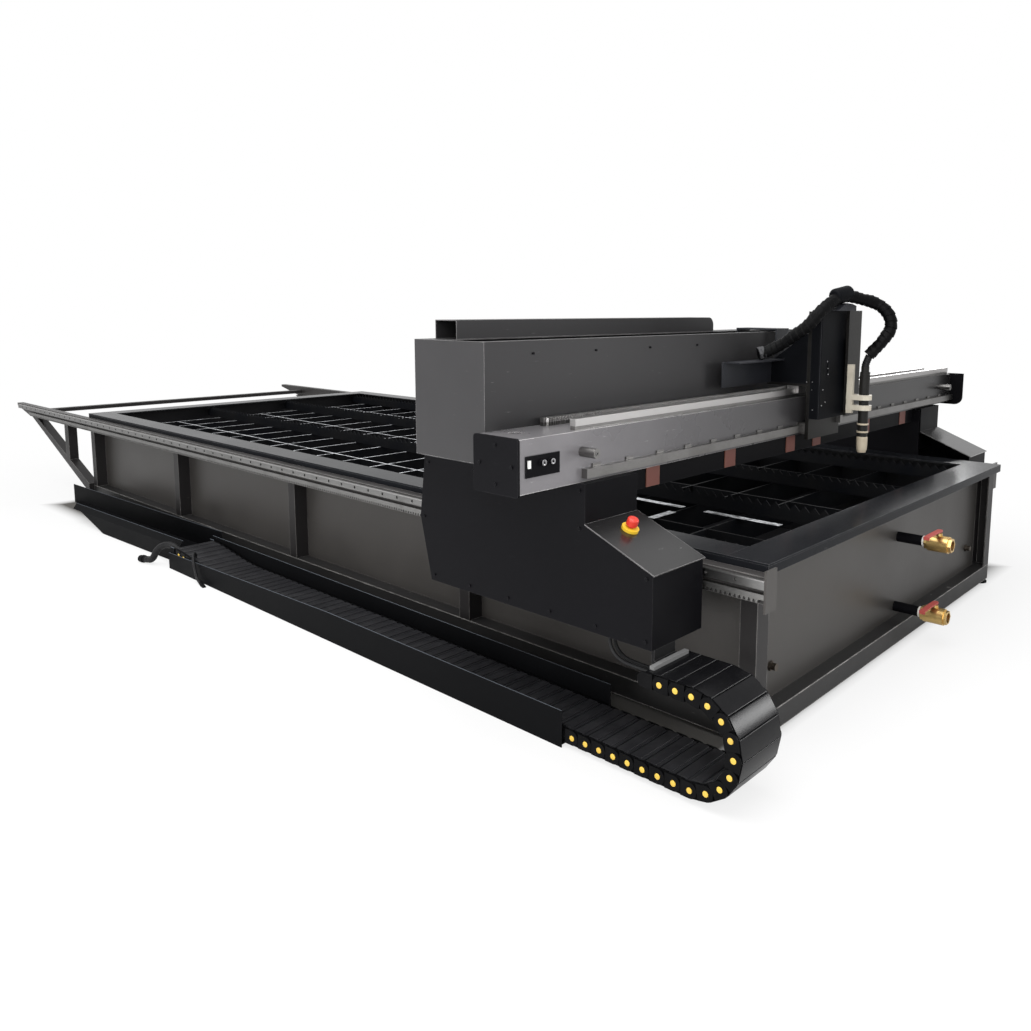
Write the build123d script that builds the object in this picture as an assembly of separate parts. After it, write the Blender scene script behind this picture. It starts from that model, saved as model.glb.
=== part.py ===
from build123d import *
from math import acos, cos, hypot, pi, radians, sin, tan
import os

os.makedirs("parts", exist_ok=True)

# Table frame, in millimetres: X along the table, Y across it, Z up from the floor
bay = 1524.0
bay_count = 4
frame_w = 2652.0
post_w = 70.0
post_d = 81.0
post_t = 6.0
foot_h = 15.0
foot_pad_r = 45.0
foot_pad_h = 9.0
foot_stem_r = 14.0
foot_inset = 45.0
base_h = 85.0
base_flange = 90.0
base_t = 6.0
cross_w = 60.0

# Water pan, rim and the slat bed inside it
end_recess = 65.0
pan_t = 6.0
rim_top = 692.0
rim_plate = 8.0
rim_skirt = 40.0
rim_skirt_t = 8.0
rim_side_inset = 6.0
rim_end_over = 34.0
rim_side_w = 150.0
rim_end_w = 169.0
grid_top = 600.0
grid_bar_h = 120.0
grid_bar_t = 8.0
grid_pitch = 293.0
grid_bar_count = 20
grid_leg_w = 40.0
stringer_h = 80.0
ledge_w = 40.0
ledge_t = 10.0
bed_clear = 2.0
comb_pitch = 747.0
comb_rows = 4
comb_h = 80.0
comb_t = 6.0
tooth_pitch = 49.0
tooth_depth = 26.0
strip_w = 40.0
strip_t = 6.0
strip_x = 1890.0
strip_y = -510.0
strip_long = 300.0
strip_gap = 124.0
strip_end = 400.0
short_y = -775.0
strip_short = 175.0

# Side rails, racks and the overhang at the parking end
rail_tip_x = -4730.0
rail_end_x = 3145.0
far_rail_end_x = 3068.0
tube_w = 50.0
tube_z = 565.0
tube_h = 97.0
tube_t = 5.0
tip_cut = 350.0
tip_h = 22.0
guide_z = 622.0
guide_h = 33.0
guide_d = 20.0
guide_hole_r = 7.0
guide_hole_d = 8.0
guide_hole_pitch = 120.0
rack_tip_z = 574.0
rack_h = 32.0
end_plate_t = 8.0
end_plate_z = 540.0
end_plate_h = 150.0
brace_w = 70.0
brace_tip_x = -4380.0
brace_top_len = 125.0
brace_low_z = 40.0
brace_low_h = 78.0
strut_x = -3560.0
strut_w = 80.0
crossbar_x = -4330.0
crossbar_w = 60.0
crossbar_h = 34.0
crossbar_z = 594.0

# Gear teeth
drive_module = 6.0
drive_teeth = 18
carriage_module = 4.0
carriage_teeth = 18
pressure = radians(20)
addendum_share = 0.8
dedendum_share = 1.25
backlash = 0.8

# Drain pipes and ball valves
drain_y = 100.0
drain_z = (151.0, 494.0)
pipe_r = 24.15
pipe_bore_r = 20.4
pipe_len = 130.0
valve_len = 122.0
valve_end_r = 34.0
valve_body_r = 39.0
valve_bore_r = 20.5
valve_socket_r = 23.5
valve_socket_len = 28.0
valve_neck_r = 13.0
valve_neck_h = 50.0
ball_r = 30.0
stem_r = 6.5
stem_fit = 0.3
lever_w = 26.0
lever_t = 5.0
lever_len = 165.0
lever_lift = 60.0
port_y = 1105.0
port_z = 230.0
port_r = 14.0
port_len = 28.0

# Trough and cable chain
trough_y = -1775.0
trough_w = 279.0
trough_t = 4.0
trough_floor_z = 10.0
trough_h = 140.0
trough_back_h = 147.0
trough_x = -650.0
trough_len = 3212.0
trough_low_h = 96.0
trough_taper = 1700.0
ext_gap = 50.0
ext_len = 2300.0
ext_top_len = 1590.0
ext_low_len = 1100.0
ext_shift = 81.0
ext_yaw = 2.2
ext_lip_h = 38.0
ext_lip_in = 24.0
tie_w = 60.0
tie_z = 20.0
tie_t = 6.0
chain_y = -1765.0
chain_w = 250.0
chain_h = 60.0
chain_low_z = 46.0
chain_bend_r = 157.0
chain_fixed_x = -598.8
chain_rise = 54.0
rise_links = 9
link_pitch = 62.8
lower_links = 59
loop_links = 8
upper_links = 3
link_gap = 9.0
link_notch = 5.0
anchor_len = 46.0
anchor_t = 6.0
hanger_t = 12.0
hanger_w = 120.0
bar_w = 30.0
clip_x = 6.0
clip_w = 18.0
clip_side = 25.0

# Gantry: its X datum is the beam's front face, at rest near the drain end
beam_x = 2582.0
beam_d = 207.0
beam_half = 2002.0
beam_z = 963.0
beam_h = 183.0
beam_t = 8.0
beam_hole_r = 22.0
beam_hole_y = -1897.0
beam_hole_back = 126.0
plate_t = 8.0
plate_lip = 4.0
plate_drop = 8.0
far_plate_front = 83.0
far_plate_drop = 18.0
far_plate_r = 50.0
near_plate_r = 12.0
side_in = 1419.0
side_out = 1715.0
cover_t = 3.0
cover_back_top = 844.0
cover_back_mid = 878.0
cover_back_low = 812.0
cover_mid_z = 704.0
cover_low_z = 440.0
console_front = 331.0
console_low_z = 700.0
console_top_z = 819.0
cover_front = 34.0
cover_clear = 6.0
leg_t = 20.0
leg_low_z = 470.0
lid_t = 4.0
lid_over = 8.0
lid_side = 4.0
block_len = 140.0
block_z = 609.0
block_h = 59.0
block_reach = 37.0
guide_fit = 0.5
block_back = (560.0, 60.0)
drive_back = 250.0
gearbox_w = 100.0
gearbox_len = 81.0
motor_w = 86.0
motor_len = 170.0
shaft_r = 12.0
shaft_len = 90.0
shaft_fit = 0.3
pinion_w = 19.0
pinion_gap = 2.0

# Beam furniture
front_rail_z = 978.0
front_rail_h = 34.0
front_rail_d = 26.0
front_rail_y = -1695.0
beam_rail_end = 1990.0
clip_pitch = 190.0
clip_len = 44.0
clip_h = 12.0
clip_d = 5.0
top_rail_back = 16.0
top_rail_w = 26.0
top_rail_h = 26.0
top_rail_y = -1711.0
top_rail_lift = 14.0
riser_side = 3.0
top_hole_pitch = 116.0
top_hole_r = 5.0
top_hole_d = 8.0
beam_rack_back = 187.0
beam_rack_w = 25.0
beam_rack_h = 30.0
bumper_r = 18.0
bumper_len = 70.0
bumper_z = 1072.0
bumper_y = (-1694.0, 1805.0)
panel_y = -1975.0
panel_w = 163.0
panel_z = 1016.0
panel_h = 72.0
panel_t = 4.0
socket_r = 10.0
socket_len = 12.0
rocker_w = 11.0
rocker_h = 26.0
rocker_d = 9.0
rocker_gap = 0.8
rocker_inset = 14.0
skirt_t = 4.0
skirt_z = 880.0
skirt_half = 1415.0
skirt_back = 22.0
tab_w = 84.0
tab_h = 78.0
tab_y = (-1257.0, -694.0, -147.0, 128.0, 727.0, 1249.0)
case_back = 581.0
case_y = -1961.0
case_end = 500.0
case_z = 1032.0
case_top = 1454.0
case_t = 3.0
case_back_flange = 150.0
case_front_flange = 30.0
guard_back = 572.0
guard_w = 120.0
guard_y = -1870.0
guard_end = -175.0
guard_h = 69.0
guard_t = 3.0
guard_r = 40.0
case_chain_w = 200.0
case_chain_h = 50.0
case_chain_r = 155.0
case_chain_z = 1065.0
case_chain_fixed_y = 320.0
case_chain_loop_y = -780.0
case_link = 50.0
screw_r = 6.0
case_screw_r = 4.5
screw_h = 5.0
screw_inset = 26.0
screw_pitch = 240.0
case_screw_pitch = 347.0
case_screw_drop = 47.0
case_screw_y = -1726.0
case_screws = 4

# Emergency stop on the near console lid
estop_along = 0.28
estop_y = -1570.0
estop_ring_r = 32.0
estop_ring_h = 12.0
estop_stem_r = 11.0
estop_head_r = 21.0
estop_head_h = 28.0
estop_gap = 9.0
estop_fit = 0.4
estop_floor = 3.0
estop_travel = 6.0

# Torch carriage
car_y = -115.0
car_w = 280.0
car_plate_front = 58.0
car_plate_t = 18.0
car_plate_low = 945.0
car_plate_top = 1556.0
car_plate_side = 50.0
saddle_z = 1200.0
saddle_t = 12.0
saddle_back = 170.0
car_block_len = 100.0
car_block_gap = 7.0
car_block_lip = 10.0
car_block_y = (-60.0, 110.0)
top_block_side = 13.5
hood_low_z = 1300.0
hood_top_z = 1450.0
hood_slope_end = 28.0
hood_t = 3.0
column_d = 50.0
column_low = 1045.0
column_top = 1560.0
column_r = 10.0
slot_x = 11.0
slot_w = 22.0
slot_low = 1090.0
slot_top = 1520.0
window_y = -48.0
window_w = 14.0
window_z = 1249.0
window_h = 69.0
travel_motor_y = 25.0
travel_gear_w = 70.0
travel_gear_h = 62.0
travel_motor_w = 56.0
travel_motor_h = 22.0
travel_shaft_r = 10.0
travel_shaft_top = 1240.0
travel_pinion_z = 1150.0
travel_pinion_w = 20.0
lift_motor_w = 42.0
lift_motor_z = 1460.0
lift_motor_h = 90.0
screw_x = 22.0
screw_y = 120.0
screw_rod_r = 8.0
screw_low = 1048.0
screw_over = 30.0
screw_foot_z = 1052.0
screw_foot_h = 12.0
screw_foot_w = 40.0
lift_rail_y = 185.0
lift_rail_w = 26.0
lift_rail_d = 22.0
lift_rail_low = 1000.0
lift_rail_top = 1540.0
arm_x = 2425.0
arm_t = 6.0
arm_y = -556.0
arm_z = 1210.0
arm_top = 1326.0
arm_shelf = 75.0
strap_w = 120.0
strap_t = 8.0
strap_z = 1462.0
strap_low = 1260.0
strap_back = 2180.0
rest_x = 2652.0
rest_len = 106.0
rest_profile = [(-86, 1563), (-50, 1578), (-5, 1596), (55, 1592), (100, 1583)]

# Lift plate and torch
lift_plate_gap = 16.0
lift_plate_t = 14.0
lift_plate_y = 115.0
lift_plate_w = 140.0
lift_plate_low = 1050.0
lift_plate_top = 1560.0
lift_block_low = 1180.0
lift_block_top = 1420.0
lift_block_lip = 10.0
lift_block_gap = 4.0
nut_z = 1290.0
nut_h = 30.0
nut_w = 18.0
nut_wall = 12.0
torch_x = 2795.0
torch_y = 150.0
torch_r = 24.0
torch_low = 948.0
torch_top = 1265.0
torch_cap_h = 26.0
torch_cap_r = 19.0
clamp_r = 37.0
clamp_h = 25.0
clamp_z = (1078.0, 1128.0)
clamp_fit = 0.15
mount_d = 30.0
mount_y = 100.0
mount_w = 35.0
mount_low = 1062.0
mount_top = 1300.0
nozzle_r = 26.0
nozzle_low = 884.0
nozzle_tip_r = 20.0
tip_low = 870.0
collar_r = 27.5
collar_h = 8.0
collar_z = (968.0, 1006.0)

# Hoses and cables, as route points in table coordinates
hose_r = 28.0
hose_start = [
    (2450, -275, 1354.5), (2497, -228, 1374), (2548, -202, 1410), (2606, -193, 1453), (2664, -180, 1502),
    (2703, -157, 1558), (2720, -92, 1600), (2731, -3, 1631), (2766, 55, 1624)]
hose_loop_r = 108.0
hose_loop_z = 1493.0
hose_loop_out = -1.0
hose_out = (0.85, 0.53)
hose_turn = radians(26)
hose_bends = 5
hose_tail = 128.0
whip_r = 17.5
whip_up = 16.0
feed_r = 7.0
feed_y = (-1694.0, -1668.0)
feed_route = [(2716, 440), (2716, 410), (2734, 380), (2764, 363), (2806, 357)]
feed_end_z = 357.0
tail_r = 20.0
tail_route = [
    (chain_fixed_x, -1722, 102), (-630, -1722, 102), (-664, -1735, 126), (-704, -1757, 134), (-744, -1783, 116),
    (-772, -1800, 80), (-788, -1808, 48), (-812, -1816, 27), (-850, -1824, 25)]
tail_plug_r = 24.0
tail_plug_len = 62.0
lead_r = 8.0
lead_link = 3
lead_y = -1735.0
lead_up = 18.0
lead_route = [
    (-350, -1756, 148), (-312, -1780, 136), (-282, -1791, 100), (-262, -1792, 56), (-240, -1795, 20),
    (-196, -1799, 12)]
plug_r = 11.5
plug_len = 64.0

half_w = frame_w / 2
end_x = bay * bay_count / 2 + post_w / 2
base_top = foot_h + base_h
pan_x = end_x - end_recess
pan_y = half_w - post_d
rim_under = rim_top - rim_plate
tube_top = tube_z + tube_h
tube_face = -half_w - tube_w
guide_face = tube_face - guide_d
drive_r = drive_module * drive_teeth / 2
travel_r = carriage_module * carriage_teeth / 2
drive_z = rack_tip_z + addendum_share * drive_module - drive_r
drive_x = beam_x - drive_back
trough_back = trough_y + trough_w
chain_top_z = chain_low_z + 2 * chain_bend_r
loop_x = chain_fixed_x + lower_links * link_pitch
upper_x = loop_x - upper_links * link_pitch
beam_back = beam_x - beam_d
beam_top = beam_z + beam_h
beam_rack_tip = beam_x - beam_rack_back + beam_rack_w
travel_x = beam_rack_tip - addendum_share * carriage_module + travel_r
car_face = beam_x + car_plate_front
car_plate_x = car_face - car_plate_t
car_end = car_y + car_w
column_face = car_face + column_d
lift_x = column_face + lift_plate_gap
lift_face = lift_x + lift_plate_t
saddle_top = saddle_z + saddle_t
origin_x = (rail_tip_x + loop_x + chain_bend_r + chain_h / 2) / 2


def block(x0, x1, y0, y1, z0, z1):
    middle = Pos((x0 + x1) / 2, (y0 + y1) / 2, (z0 + z1) / 2)
    return middle * Box(x1 - x0, y1 - y0, z1 - z0)


def rod(start, direction, radius, length):
    return extrude(Plane(start, z_dir=direction) * Circle(radius), length)


def slab_xz(points, y0, y1):
    plane = Plane((0, y1, 0), x_dir=(1, 0, 0), z_dir=(0, -1, 0))
    return extrude(plane * Polygon(*points, align=None), y1 - y0, dir=(0, -1, 0))


def slab_yz(points, x0, x1):
    plane = Plane((x0, 0, 0), x_dir=(0, 1, 0), z_dir=(1, 0, 0))
    return extrude(plane * Polygon(*points, align=None), x1 - x0, dir=(1, 0, 0))


def slab_xy(points, z0, z1):
    return extrude(Pos(0, 0, z0) * Polygon(*points, align=None), z1 - z0, dir=(0, 0, 1))


def far(shape):
    return mirror(shape, about=Plane.XZ)


def other_end(shape):
    return mirror(shape, about=Plane.YZ)


def save(name, *shapes):
    solids = [Pos(-origin_x, 0, 0) * solid for shape in shapes for solid in shape.solids()]
    whole = solids[0] if len(solids) == 1 else Compound(solids)
    export_step(whole, f"parts/{name}.step")


def post_positions():
    return [(i - bay_count / 2) * bay for i in range(bay_count + 1)]


def inset(points, distance):
    moved = []
    count = len(points)
    for i in range(count):
        before, here, after = points[i - 1], points[i], points[(i + 1) % count]
        in_dir = ((here[0] - before[0]), (here[1] - before[1]))
        out_dir = ((after[0] - here[0]), (after[1] - here[1]))
        in_len, out_len = hypot(*in_dir), hypot(*out_dir)
        n1 = (-in_dir[1] / in_len, in_dir[0] / in_len)
        n2 = (-out_dir[1] / out_len, out_dir[0] / out_len)
        scale = distance / (1 + n1[0] * n2[0] + n1[1] * n2[1])
        moved.append((here[0] + (n1[0] + n2[0]) * scale, here[1] + (n1[1] + n2[1]) * scale))
    return moved


def rack_line(module, start, end, mesh_at):
    pitch = pi * module
    add, ded = addendum_share * module, dedendum_share * module
    tip_half = pitch / 4 - add * tan(pressure)
    root_half = pitch / 4 + ded * tan(pressure)
    first = int((start - mesh_at) / pitch) + 1
    last = int((end - mesh_at) / pitch) - 1
    line = []
    for k in range(first, last):
        middle = mesh_at + (k + 0.5) * pitch
        if middle - root_half <= start or middle + root_half >= end:
            continue
        line += [(middle - root_half, add + ded), (middle - tip_half, 0)]
        line += [(middle + tip_half, 0), (middle + root_half, add + ded)]
    return line


def pinion_outline(module, teeth, steps=5):
    pitch_r = module * teeth / 2
    base_r = pitch_r * cos(pressure)
    tip_r = pitch_r + module
    root_r = pitch_r - dedendum_share * module
    start_r = max(base_r, root_r)
    half = pi / (2 * teeth) - backlash / (2 * pitch_r) + tan(pressure) - pressure
    flank = []
    for i in range(steps + 1):
        radius = start_r + (tip_r - start_r) * i / steps
        angle = acos(min(1.0, base_r / radius))
        flank.append((radius, half - (tan(angle) - angle)))
    flank = [(root_r, flank[0][1])] + flank
    points = []
    for k in range(teeth):
        turn = 2 * pi * k / teeth
        for radius, angle in flank:
            points.append((radius * cos(turn - angle), radius * sin(turn - angle)))
        for radius, angle in reversed(flank):
            points.append((radius * cos(turn + angle), radius * sin(turn + angle)))
    return points


def channel(flange, height, thick, low):
    return [
        (0, low), (flange, low), (flange, low + thick), (thick, low + thick),
        (thick, low + height - thick), (flange, low + height - thick), (flange, low + height), (0, low + height)]


def make_base_frame():
    outline = channel(base_flange, base_h, base_t, foot_h)
    side = slab_yz([(y - half_w, z) for y, z in outline], -end_x, end_x)
    end = slab_xz([(x - end_x, z) for x, z in outline], -half_w, half_w)
    frame = side + far(side) + end + other_end(end)
    for x in post_positions()[1:-1]:
        beam = block(x - cross_w / 2, x + cross_w / 2, -half_w + base_t, half_w - base_t, foot_h, base_top)
        hollow = block(
            x - cross_w / 2 + base_t, x + cross_w / 2 - base_t, -half_w, half_w, foot_h - 1, base_top - base_t)
        inner = half_w - base_flange
        keep = block(x - cross_w, x + cross_w, -inner, inner, 0, base_top)
        frame += beam - (hollow & keep)
    return frame


def make_feet():
    feet = []
    for x in post_positions():
        foot = rod((x, -half_w + foot_inset, 0), (0, 0, 1), foot_pad_r, foot_pad_h)
        foot += rod((x, -half_w + foot_inset, 0), (0, 0, 1), foot_stem_r, foot_h)
        feet += [foot, far(foot)]
    return feet


def make_posts():
    posts = []
    for x in post_positions():
        left, right = x - post_w / 2, x + post_w / 2
        post = block(left, right, -half_w, -pan_y, base_top, rim_top - rim_skirt)
        post -= block(
            left + post_t, right - post_t, -half_w + post_t, -pan_y + 1, base_top - 1, rim_top)
        posts += [post, far(post)]
    return posts


def make_pan():
    wall_z = base_top + pan_t
    floor = block(-pan_x, pan_x, -pan_y, pan_y, base_top, wall_z)
    side = block(-pan_x, pan_x, -pan_y, -pan_y + pan_t, wall_z, rim_under)
    end = block(pan_x - pan_t, pan_x, -pan_y + pan_t, pan_y - pan_t, wall_z, rim_under)
    drain_end = end
    for z in drain_z:
        drain_end -= rod((pan_x - 2 * pan_t, drain_y, z), (1, 0, 0), pipe_bore_r, 3 * pan_t)
    return [floor, side, far(side), drain_end, other_end(end)]


def make_rim():
    out_x, out_y = end_x + rim_end_over, half_w - rim_side_inset
    in_x, in_y = out_x - rim_end_w, out_y - rim_side_w
    low = rim_top - rim_skirt
    end = block(in_x, out_x, -out_y, out_y, rim_under, rim_top)
    side = block(-in_x, in_x, -out_y, -in_y, rim_under, rim_top)
    end_skirt = block(out_x - rim_skirt_t, out_x, -out_y, out_y, low, rim_under)
    reach = out_x - rim_skirt_t
    side_skirt = block(-reach, reach, -out_y, -out_y + rim_skirt_t, low, rim_under)
    return [end, other_end(end), side, far(side), end_skirt, other_end(end_skirt), side_skirt, far(side_skirt)]


def make_combs():
    half = pan_x - pan_t - bed_clear
    teeth = int(2 * half / tooth_pitch)
    start = -teeth * tooth_pitch / 2
    top = grid_top + comb_h
    line = [(-half, grid_top), (-half, top - tooth_depth), (start, top - tooth_depth)]
    for i in range(teeth):
        x = start + i * tooth_pitch
        line += [(x + tooth_pitch / 2, top), (x + tooth_pitch, top - tooth_depth)]
    line += [(half, top - tooth_depth), (half, grid_top)]
    rows = []
    for i in range(comb_rows):
        y = (i - (comb_rows - 1) / 2) * comb_pitch
        rows.append(slab_xz(line, y - comb_t / 2, y + comb_t / 2))
    return rows


def make_grid():
    span = pan_y - pan_t
    low = grid_top - grid_bar_h
    reach = grid_pitch * (grid_bar_count - 1) / 2
    half = grid_bar_t / 2
    parts = []
    for i in range(grid_bar_count):
        x = -reach + i * grid_pitch
        parts.append(block(x - half, x + half, -span, span, low, grid_top))
        for y in (-comb_pitch, 0, comb_pitch):
            if i < grid_bar_count - 1:
                parts.append(block(
                    x + half, x + grid_pitch - half, y - half, y + half, grid_top - stringer_h, grid_top))
            if i % 6 == 1:
                parts.append(block(
                    x - grid_leg_w / 2, x + grid_leg_w / 2, y - grid_leg_w / 2, y + grid_leg_w / 2,
                    base_top + pan_t, low))
    ledge = block(-pan_x + pan_t, pan_x - pan_t, -span, -span + ledge_w, low - ledge_t, low)
    return parts + [ledge, far(ledge)]


def make_strips():
    y1, top = strip_y + strip_w, grid_top + strip_t
    first = block(strip_x, strip_x + strip_long, strip_y, y1, grid_top, top)
    next_x = strip_x + strip_long + strip_gap
    second = block(next_x, next_x + strip_end, strip_y, y1, grid_top, top)
    cross_x = strip_x + grid_pitch
    short = block(cross_x, cross_x + strip_w, short_y, short_y + strip_short, grid_top, top)
    return [first, second, short]


def both_sides(make):
    return [make(rail_end_x), far(make(far_rail_end_x))]


def make_tube_rail(end):
    tube = block(rail_tip_x, end, tube_face, -half_w, tube_z, tube_top)
    tube -= block(
        rail_tip_x - 1, end + 1, tube_face + tube_t, -half_w - tube_t, tube_z + tube_t, tube_top - tube_t)
    nose = [
        (rail_tip_x - 1, tube_z - 1), (rail_tip_x + tip_cut, tube_z - 1), (rail_tip_x - 1, tube_top - tip_h)]
    return tube - slab_xz(nose, tube_face - 1, -half_w + 1)


def make_guide(end):
    start = rail_tip_x + tip_cut / 4
    guide = block(start, end, guide_face, tube_face, guide_z, guide_z + guide_h)
    count = int((end - start) / guide_hole_pitch)
    first = start + (end - start - (count - 1) * guide_hole_pitch) / 2
    holes = []
    for i in range(count):
        x = first + i * guide_hole_pitch
        holes.append(rod((x, guide_face, guide_z + guide_h / 2), (0, 1, 0), guide_hole_r, guide_hole_d))
    return guide - holes


def make_rack(end):
    start = rail_tip_x + tip_cut + 20
    line = rack_line(drive_module, start, end, drive_x)
    root_z = rack_tip_z + (addendum_share + dedendum_share) * drive_module
    points = [(start, rack_tip_z + rack_h), (start, root_z)]
    points += [(x, rack_tip_z + z) for x, z in line]
    points += [(end, root_z), (end, rack_tip_z + rack_h)]
    return slab_xz(points, guide_face, tube_face)


def make_rail_plate(end):
    return block(
        end, end + end_plate_t, guide_face - plate_lip, -half_w, end_plate_z, end_plate_z + end_plate_h)


def make_overhang():
    y0 = (tube_face - half_w) / 2 - brace_w / 2 + 20
    top_x = brace_tip_x + brace_top_len
    low_x = -end_x
    brace = slab_xz([
        (brace_tip_x, tube_z), (low_x, brace_low_z), (low_x, brace_low_z + brace_low_h), (top_x, tube_z)],
        y0, y0 + brace_w)
    slope = (brace_low_z + brace_low_h - tube_z) / (low_x - top_x)
    left, right = strut_x, strut_x + strut_w
    strut = slab_xz([
        (left, tube_z), (left, tube_z + slope * (left - top_x)),
        (right, tube_z + slope * (right - top_x)), (right, tube_z)], y0, y0 + brace_w)
    bar = block(crossbar_x, crossbar_x + crossbar_w, -half_w, half_w, crossbar_z, crossbar_z + crossbar_h)
    return [brace, strut, far(brace), far(strut), bar]


def make_trough():
    x1 = trough_x + trough_len
    front = [
        (trough_x, 0), (x1, 0), (x1, trough_h), (trough_x + trough_taper, trough_h), (trough_x, trough_low_h)]
    trough = slab_xz(front, trough_y, trough_y + trough_t)
    trough += block(trough_x, x1, trough_back - trough_t, trough_back, 0, trough_back_h)
    trough += block(
        trough_x, x1, trough_y, trough_back, trough_floor_z, trough_floor_z + trough_t)
    for x in post_positions()[2:-1]:
        left = x + post_w
        trough += block(left, left + tie_w, trough_back, -half_w, tie_z, tie_z + tie_t)
    return trough


def make_extension():
    x1 = trough_x - ext_gap
    x0 = x1 - ext_len
    bend_z = trough_h - ext_lip_h
    bend_len = ext_low_len + (ext_top_len - ext_low_len) * bend_z / trough_h
    tray = slab_xz([(x1 - ext_low_len, 0), (x1, 0), (x1, bend_z), (x1 - bend_len, bend_z)],
                   trough_y, trough_y + trough_t)
    lip_y = trough_y + ext_lip_in
    tray += slab_yz([(trough_y, bend_z), (trough_y + trough_t, bend_z), (lip_y + trough_t, trough_h),
                     (lip_y, trough_h)], x1 - ext_top_len, x1)
    tray += block(x0, x1, trough_back - trough_t, trough_back, 0, trough_back_h)
    tray += slab_xy([(x1 - ext_low_len, trough_y), (x1, trough_y), (x1, trough_back), (x0, trough_back)],
                    trough_floor_z, trough_floor_z + trough_t)
    tray = Pos(x1, trough_back + ext_shift, 0) * Rot(0, 0, ext_yaw) * Pos(-x1, -trough_back, 0) * tray
    for x in (x0, post_positions()[1]):
        left = x + post_w
        back = trough_back + ext_shift + (left - x1) * tan(radians(ext_yaw)) - trough_t
        tray += block(left, left + tie_w, back, -half_w, tie_z, tie_z + tie_t)
    return tray


def make_anchor():
    low = trough_floor_z + trough_t
    x1 = chain_fixed_x
    foot = block(x1 - anchor_len, x1, chain_y, chain_y + chain_w, low, low + anchor_t / 3)
    for y in (chain_y, chain_y + chain_w - anchor_t):
        foot += block(x1 - anchor_len, x1, y, y + anchor_t, low, chain_low_z + chain_rise + chain_h / 2)
    return foot


def ribbed(start, pitch, count, low, height):
    top, bottom = [], []
    for i in range(count):
        x = start + i * pitch
        a, b = x + link_gap / 2, x + pitch - link_gap / 2
        top += [(x, low + height - link_notch), (a, low + height - link_notch), (a, low + height)]
        top += [(b, low + height), (b, low + height - link_notch)]
        bottom += [(x, low + link_notch), (a, low + link_notch), (a, low), (b, low), (b, low + link_notch)]
    end = start + count * pitch
    top.append((end, low + height - link_notch))
    bottom.append((end, low + link_notch))
    return top + bottom[::-1]


def chain_lift(x):
    share = min(1.0, (x - chain_fixed_x) / (rise_links * link_pitch))
    return chain_rise * (1 - share * share * (3 - 2 * share))


def make_lower_run():
    points = ribbed(chain_fixed_x, link_pitch, lower_links, chain_low_z - chain_h / 2, chain_h)
    return slab_xz([(x, z + chain_lift(x)) for x, z in points], chain_y, chain_y + chain_w)


def lead_path():
    a = chain_fixed_x + lead_link * link_pitch + link_gap / 2
    b = a + link_pitch - link_gap
    high, low = chain_lift(a), chain_lift(b)
    x, z = (a + b) / 2, chain_low_z + chain_h / 2 + (high + low) / 2
    lean = (high - low) / (b - a)
    return [(x, lead_y, z), (x + lean * lead_up, lead_y, z + lead_up)] + lead_route


def make_upper_run():
    points = ribbed(upper_x, link_pitch, upper_links, chain_top_z - chain_h / 2, chain_h)
    return slab_xz(points, chain_y, chain_y + chain_w)


def make_loop():
    middle_z = chain_low_z + chain_bend_r
    outer_r, inner_r = chain_bend_r + chain_h / 2, chain_bend_r - chain_h / 2
    step = pi / loop_links
    gap = link_gap / 2 / outer_r
    outer, inner = [], []
    for i in range(loop_links):
        start = -pi / 2 + i * step
        ring = outer_r - link_notch
        marks = [(ring, start), (ring, start + gap), (outer_r, start + gap)]
        marks += [(outer_r, start + step - gap), (ring, start + step - gap)]
        outer += [(r * cos(a), r * sin(a)) for r, a in marks]
        inner.append((inner_r * cos(start), inner_r * sin(start)))
    outer.append((0, outer_r - link_notch))
    inner.append((0, inner_r))
    points = [(loop_x + x, middle_z + z) for x, z in outer + inner[::-1]]
    return slab_xz(points, chain_y, chain_y + chain_w)


def make_hanger():
    low = chain_top_z + chain_h / 2
    clip = upper_x + clip_x
    bar = block(
        clip, clip + clip_w, chain_y + clip_side, chain_y + chain_w - clip_side, low - link_notch, low + hanger_t)
    bar -= make_upper_run()
    front = beam_x + console_front
    plate_x = min(upper_x, front) - hanger_t
    middle = chain_y + chain_w / 2
    hanger = block(
        plate_x, plate_x + hanger_t, middle - hanger_w / 2, middle + hanger_w / 2, low, cover_low_z)
    link = block(
        plate_x, clip + clip_w, middle - hanger_w / 2, middle + hanger_w / 2, low, low + hanger_t)
    return max((bar + hanger + link).solids(), key=lambda solid: solid.volume)


def make_pipes():
    pipes = []
    for z in drain_z:
        pipe = rod((pan_x, drain_y, z), (1, 0, 0), pipe_r, pipe_len)
        pipes.append(pipe - rod((pan_x - 1, drain_y, z), (1, 0, 0), pipe_bore_r, pipe_len + 2))
    return pipes


def make_valve(z):
    start = pan_x + pipe_len
    middle = start + valve_len / 2
    flat = Plane((start, drain_y, z), x_dir=(0, 1, 0), z_dir=(1, 0, 0))
    hex_len = valve_len / 4
    valve = extrude(flat * RegularPolygon(valve_end_r, 6), hex_len)
    valve += rod((start + hex_len / 2, drain_y, z), (1, 0, 0), valve_body_r, valve_len - hex_len)
    last = Plane((start + valve_len - hex_len, drain_y, z), x_dir=(0, 1, 0), z_dir=(1, 0, 0))
    valve += extrude(last * RegularPolygon(valve_end_r, 6), hex_len)
    valve += rod((middle, drain_y, z), (0, 0, 1), valve_neck_r, valve_neck_h)
    valve -= rod((start - 1, drain_y, z), (1, 0, 0), valve_bore_r, valve_len + 2)
    end = start + valve_len
    valve -= rod((end - valve_socket_len, drain_y, z), (1, 0, 0), valve_socket_r, valve_socket_len + 1)
    valve -= Pos(middle, drain_y, z) * Sphere(ball_r + stem_fit)
    valve -= rod((middle, drain_y, z), (0, 0, 1), stem_r + stem_fit, valve_neck_h + 1)
    return valve


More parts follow.
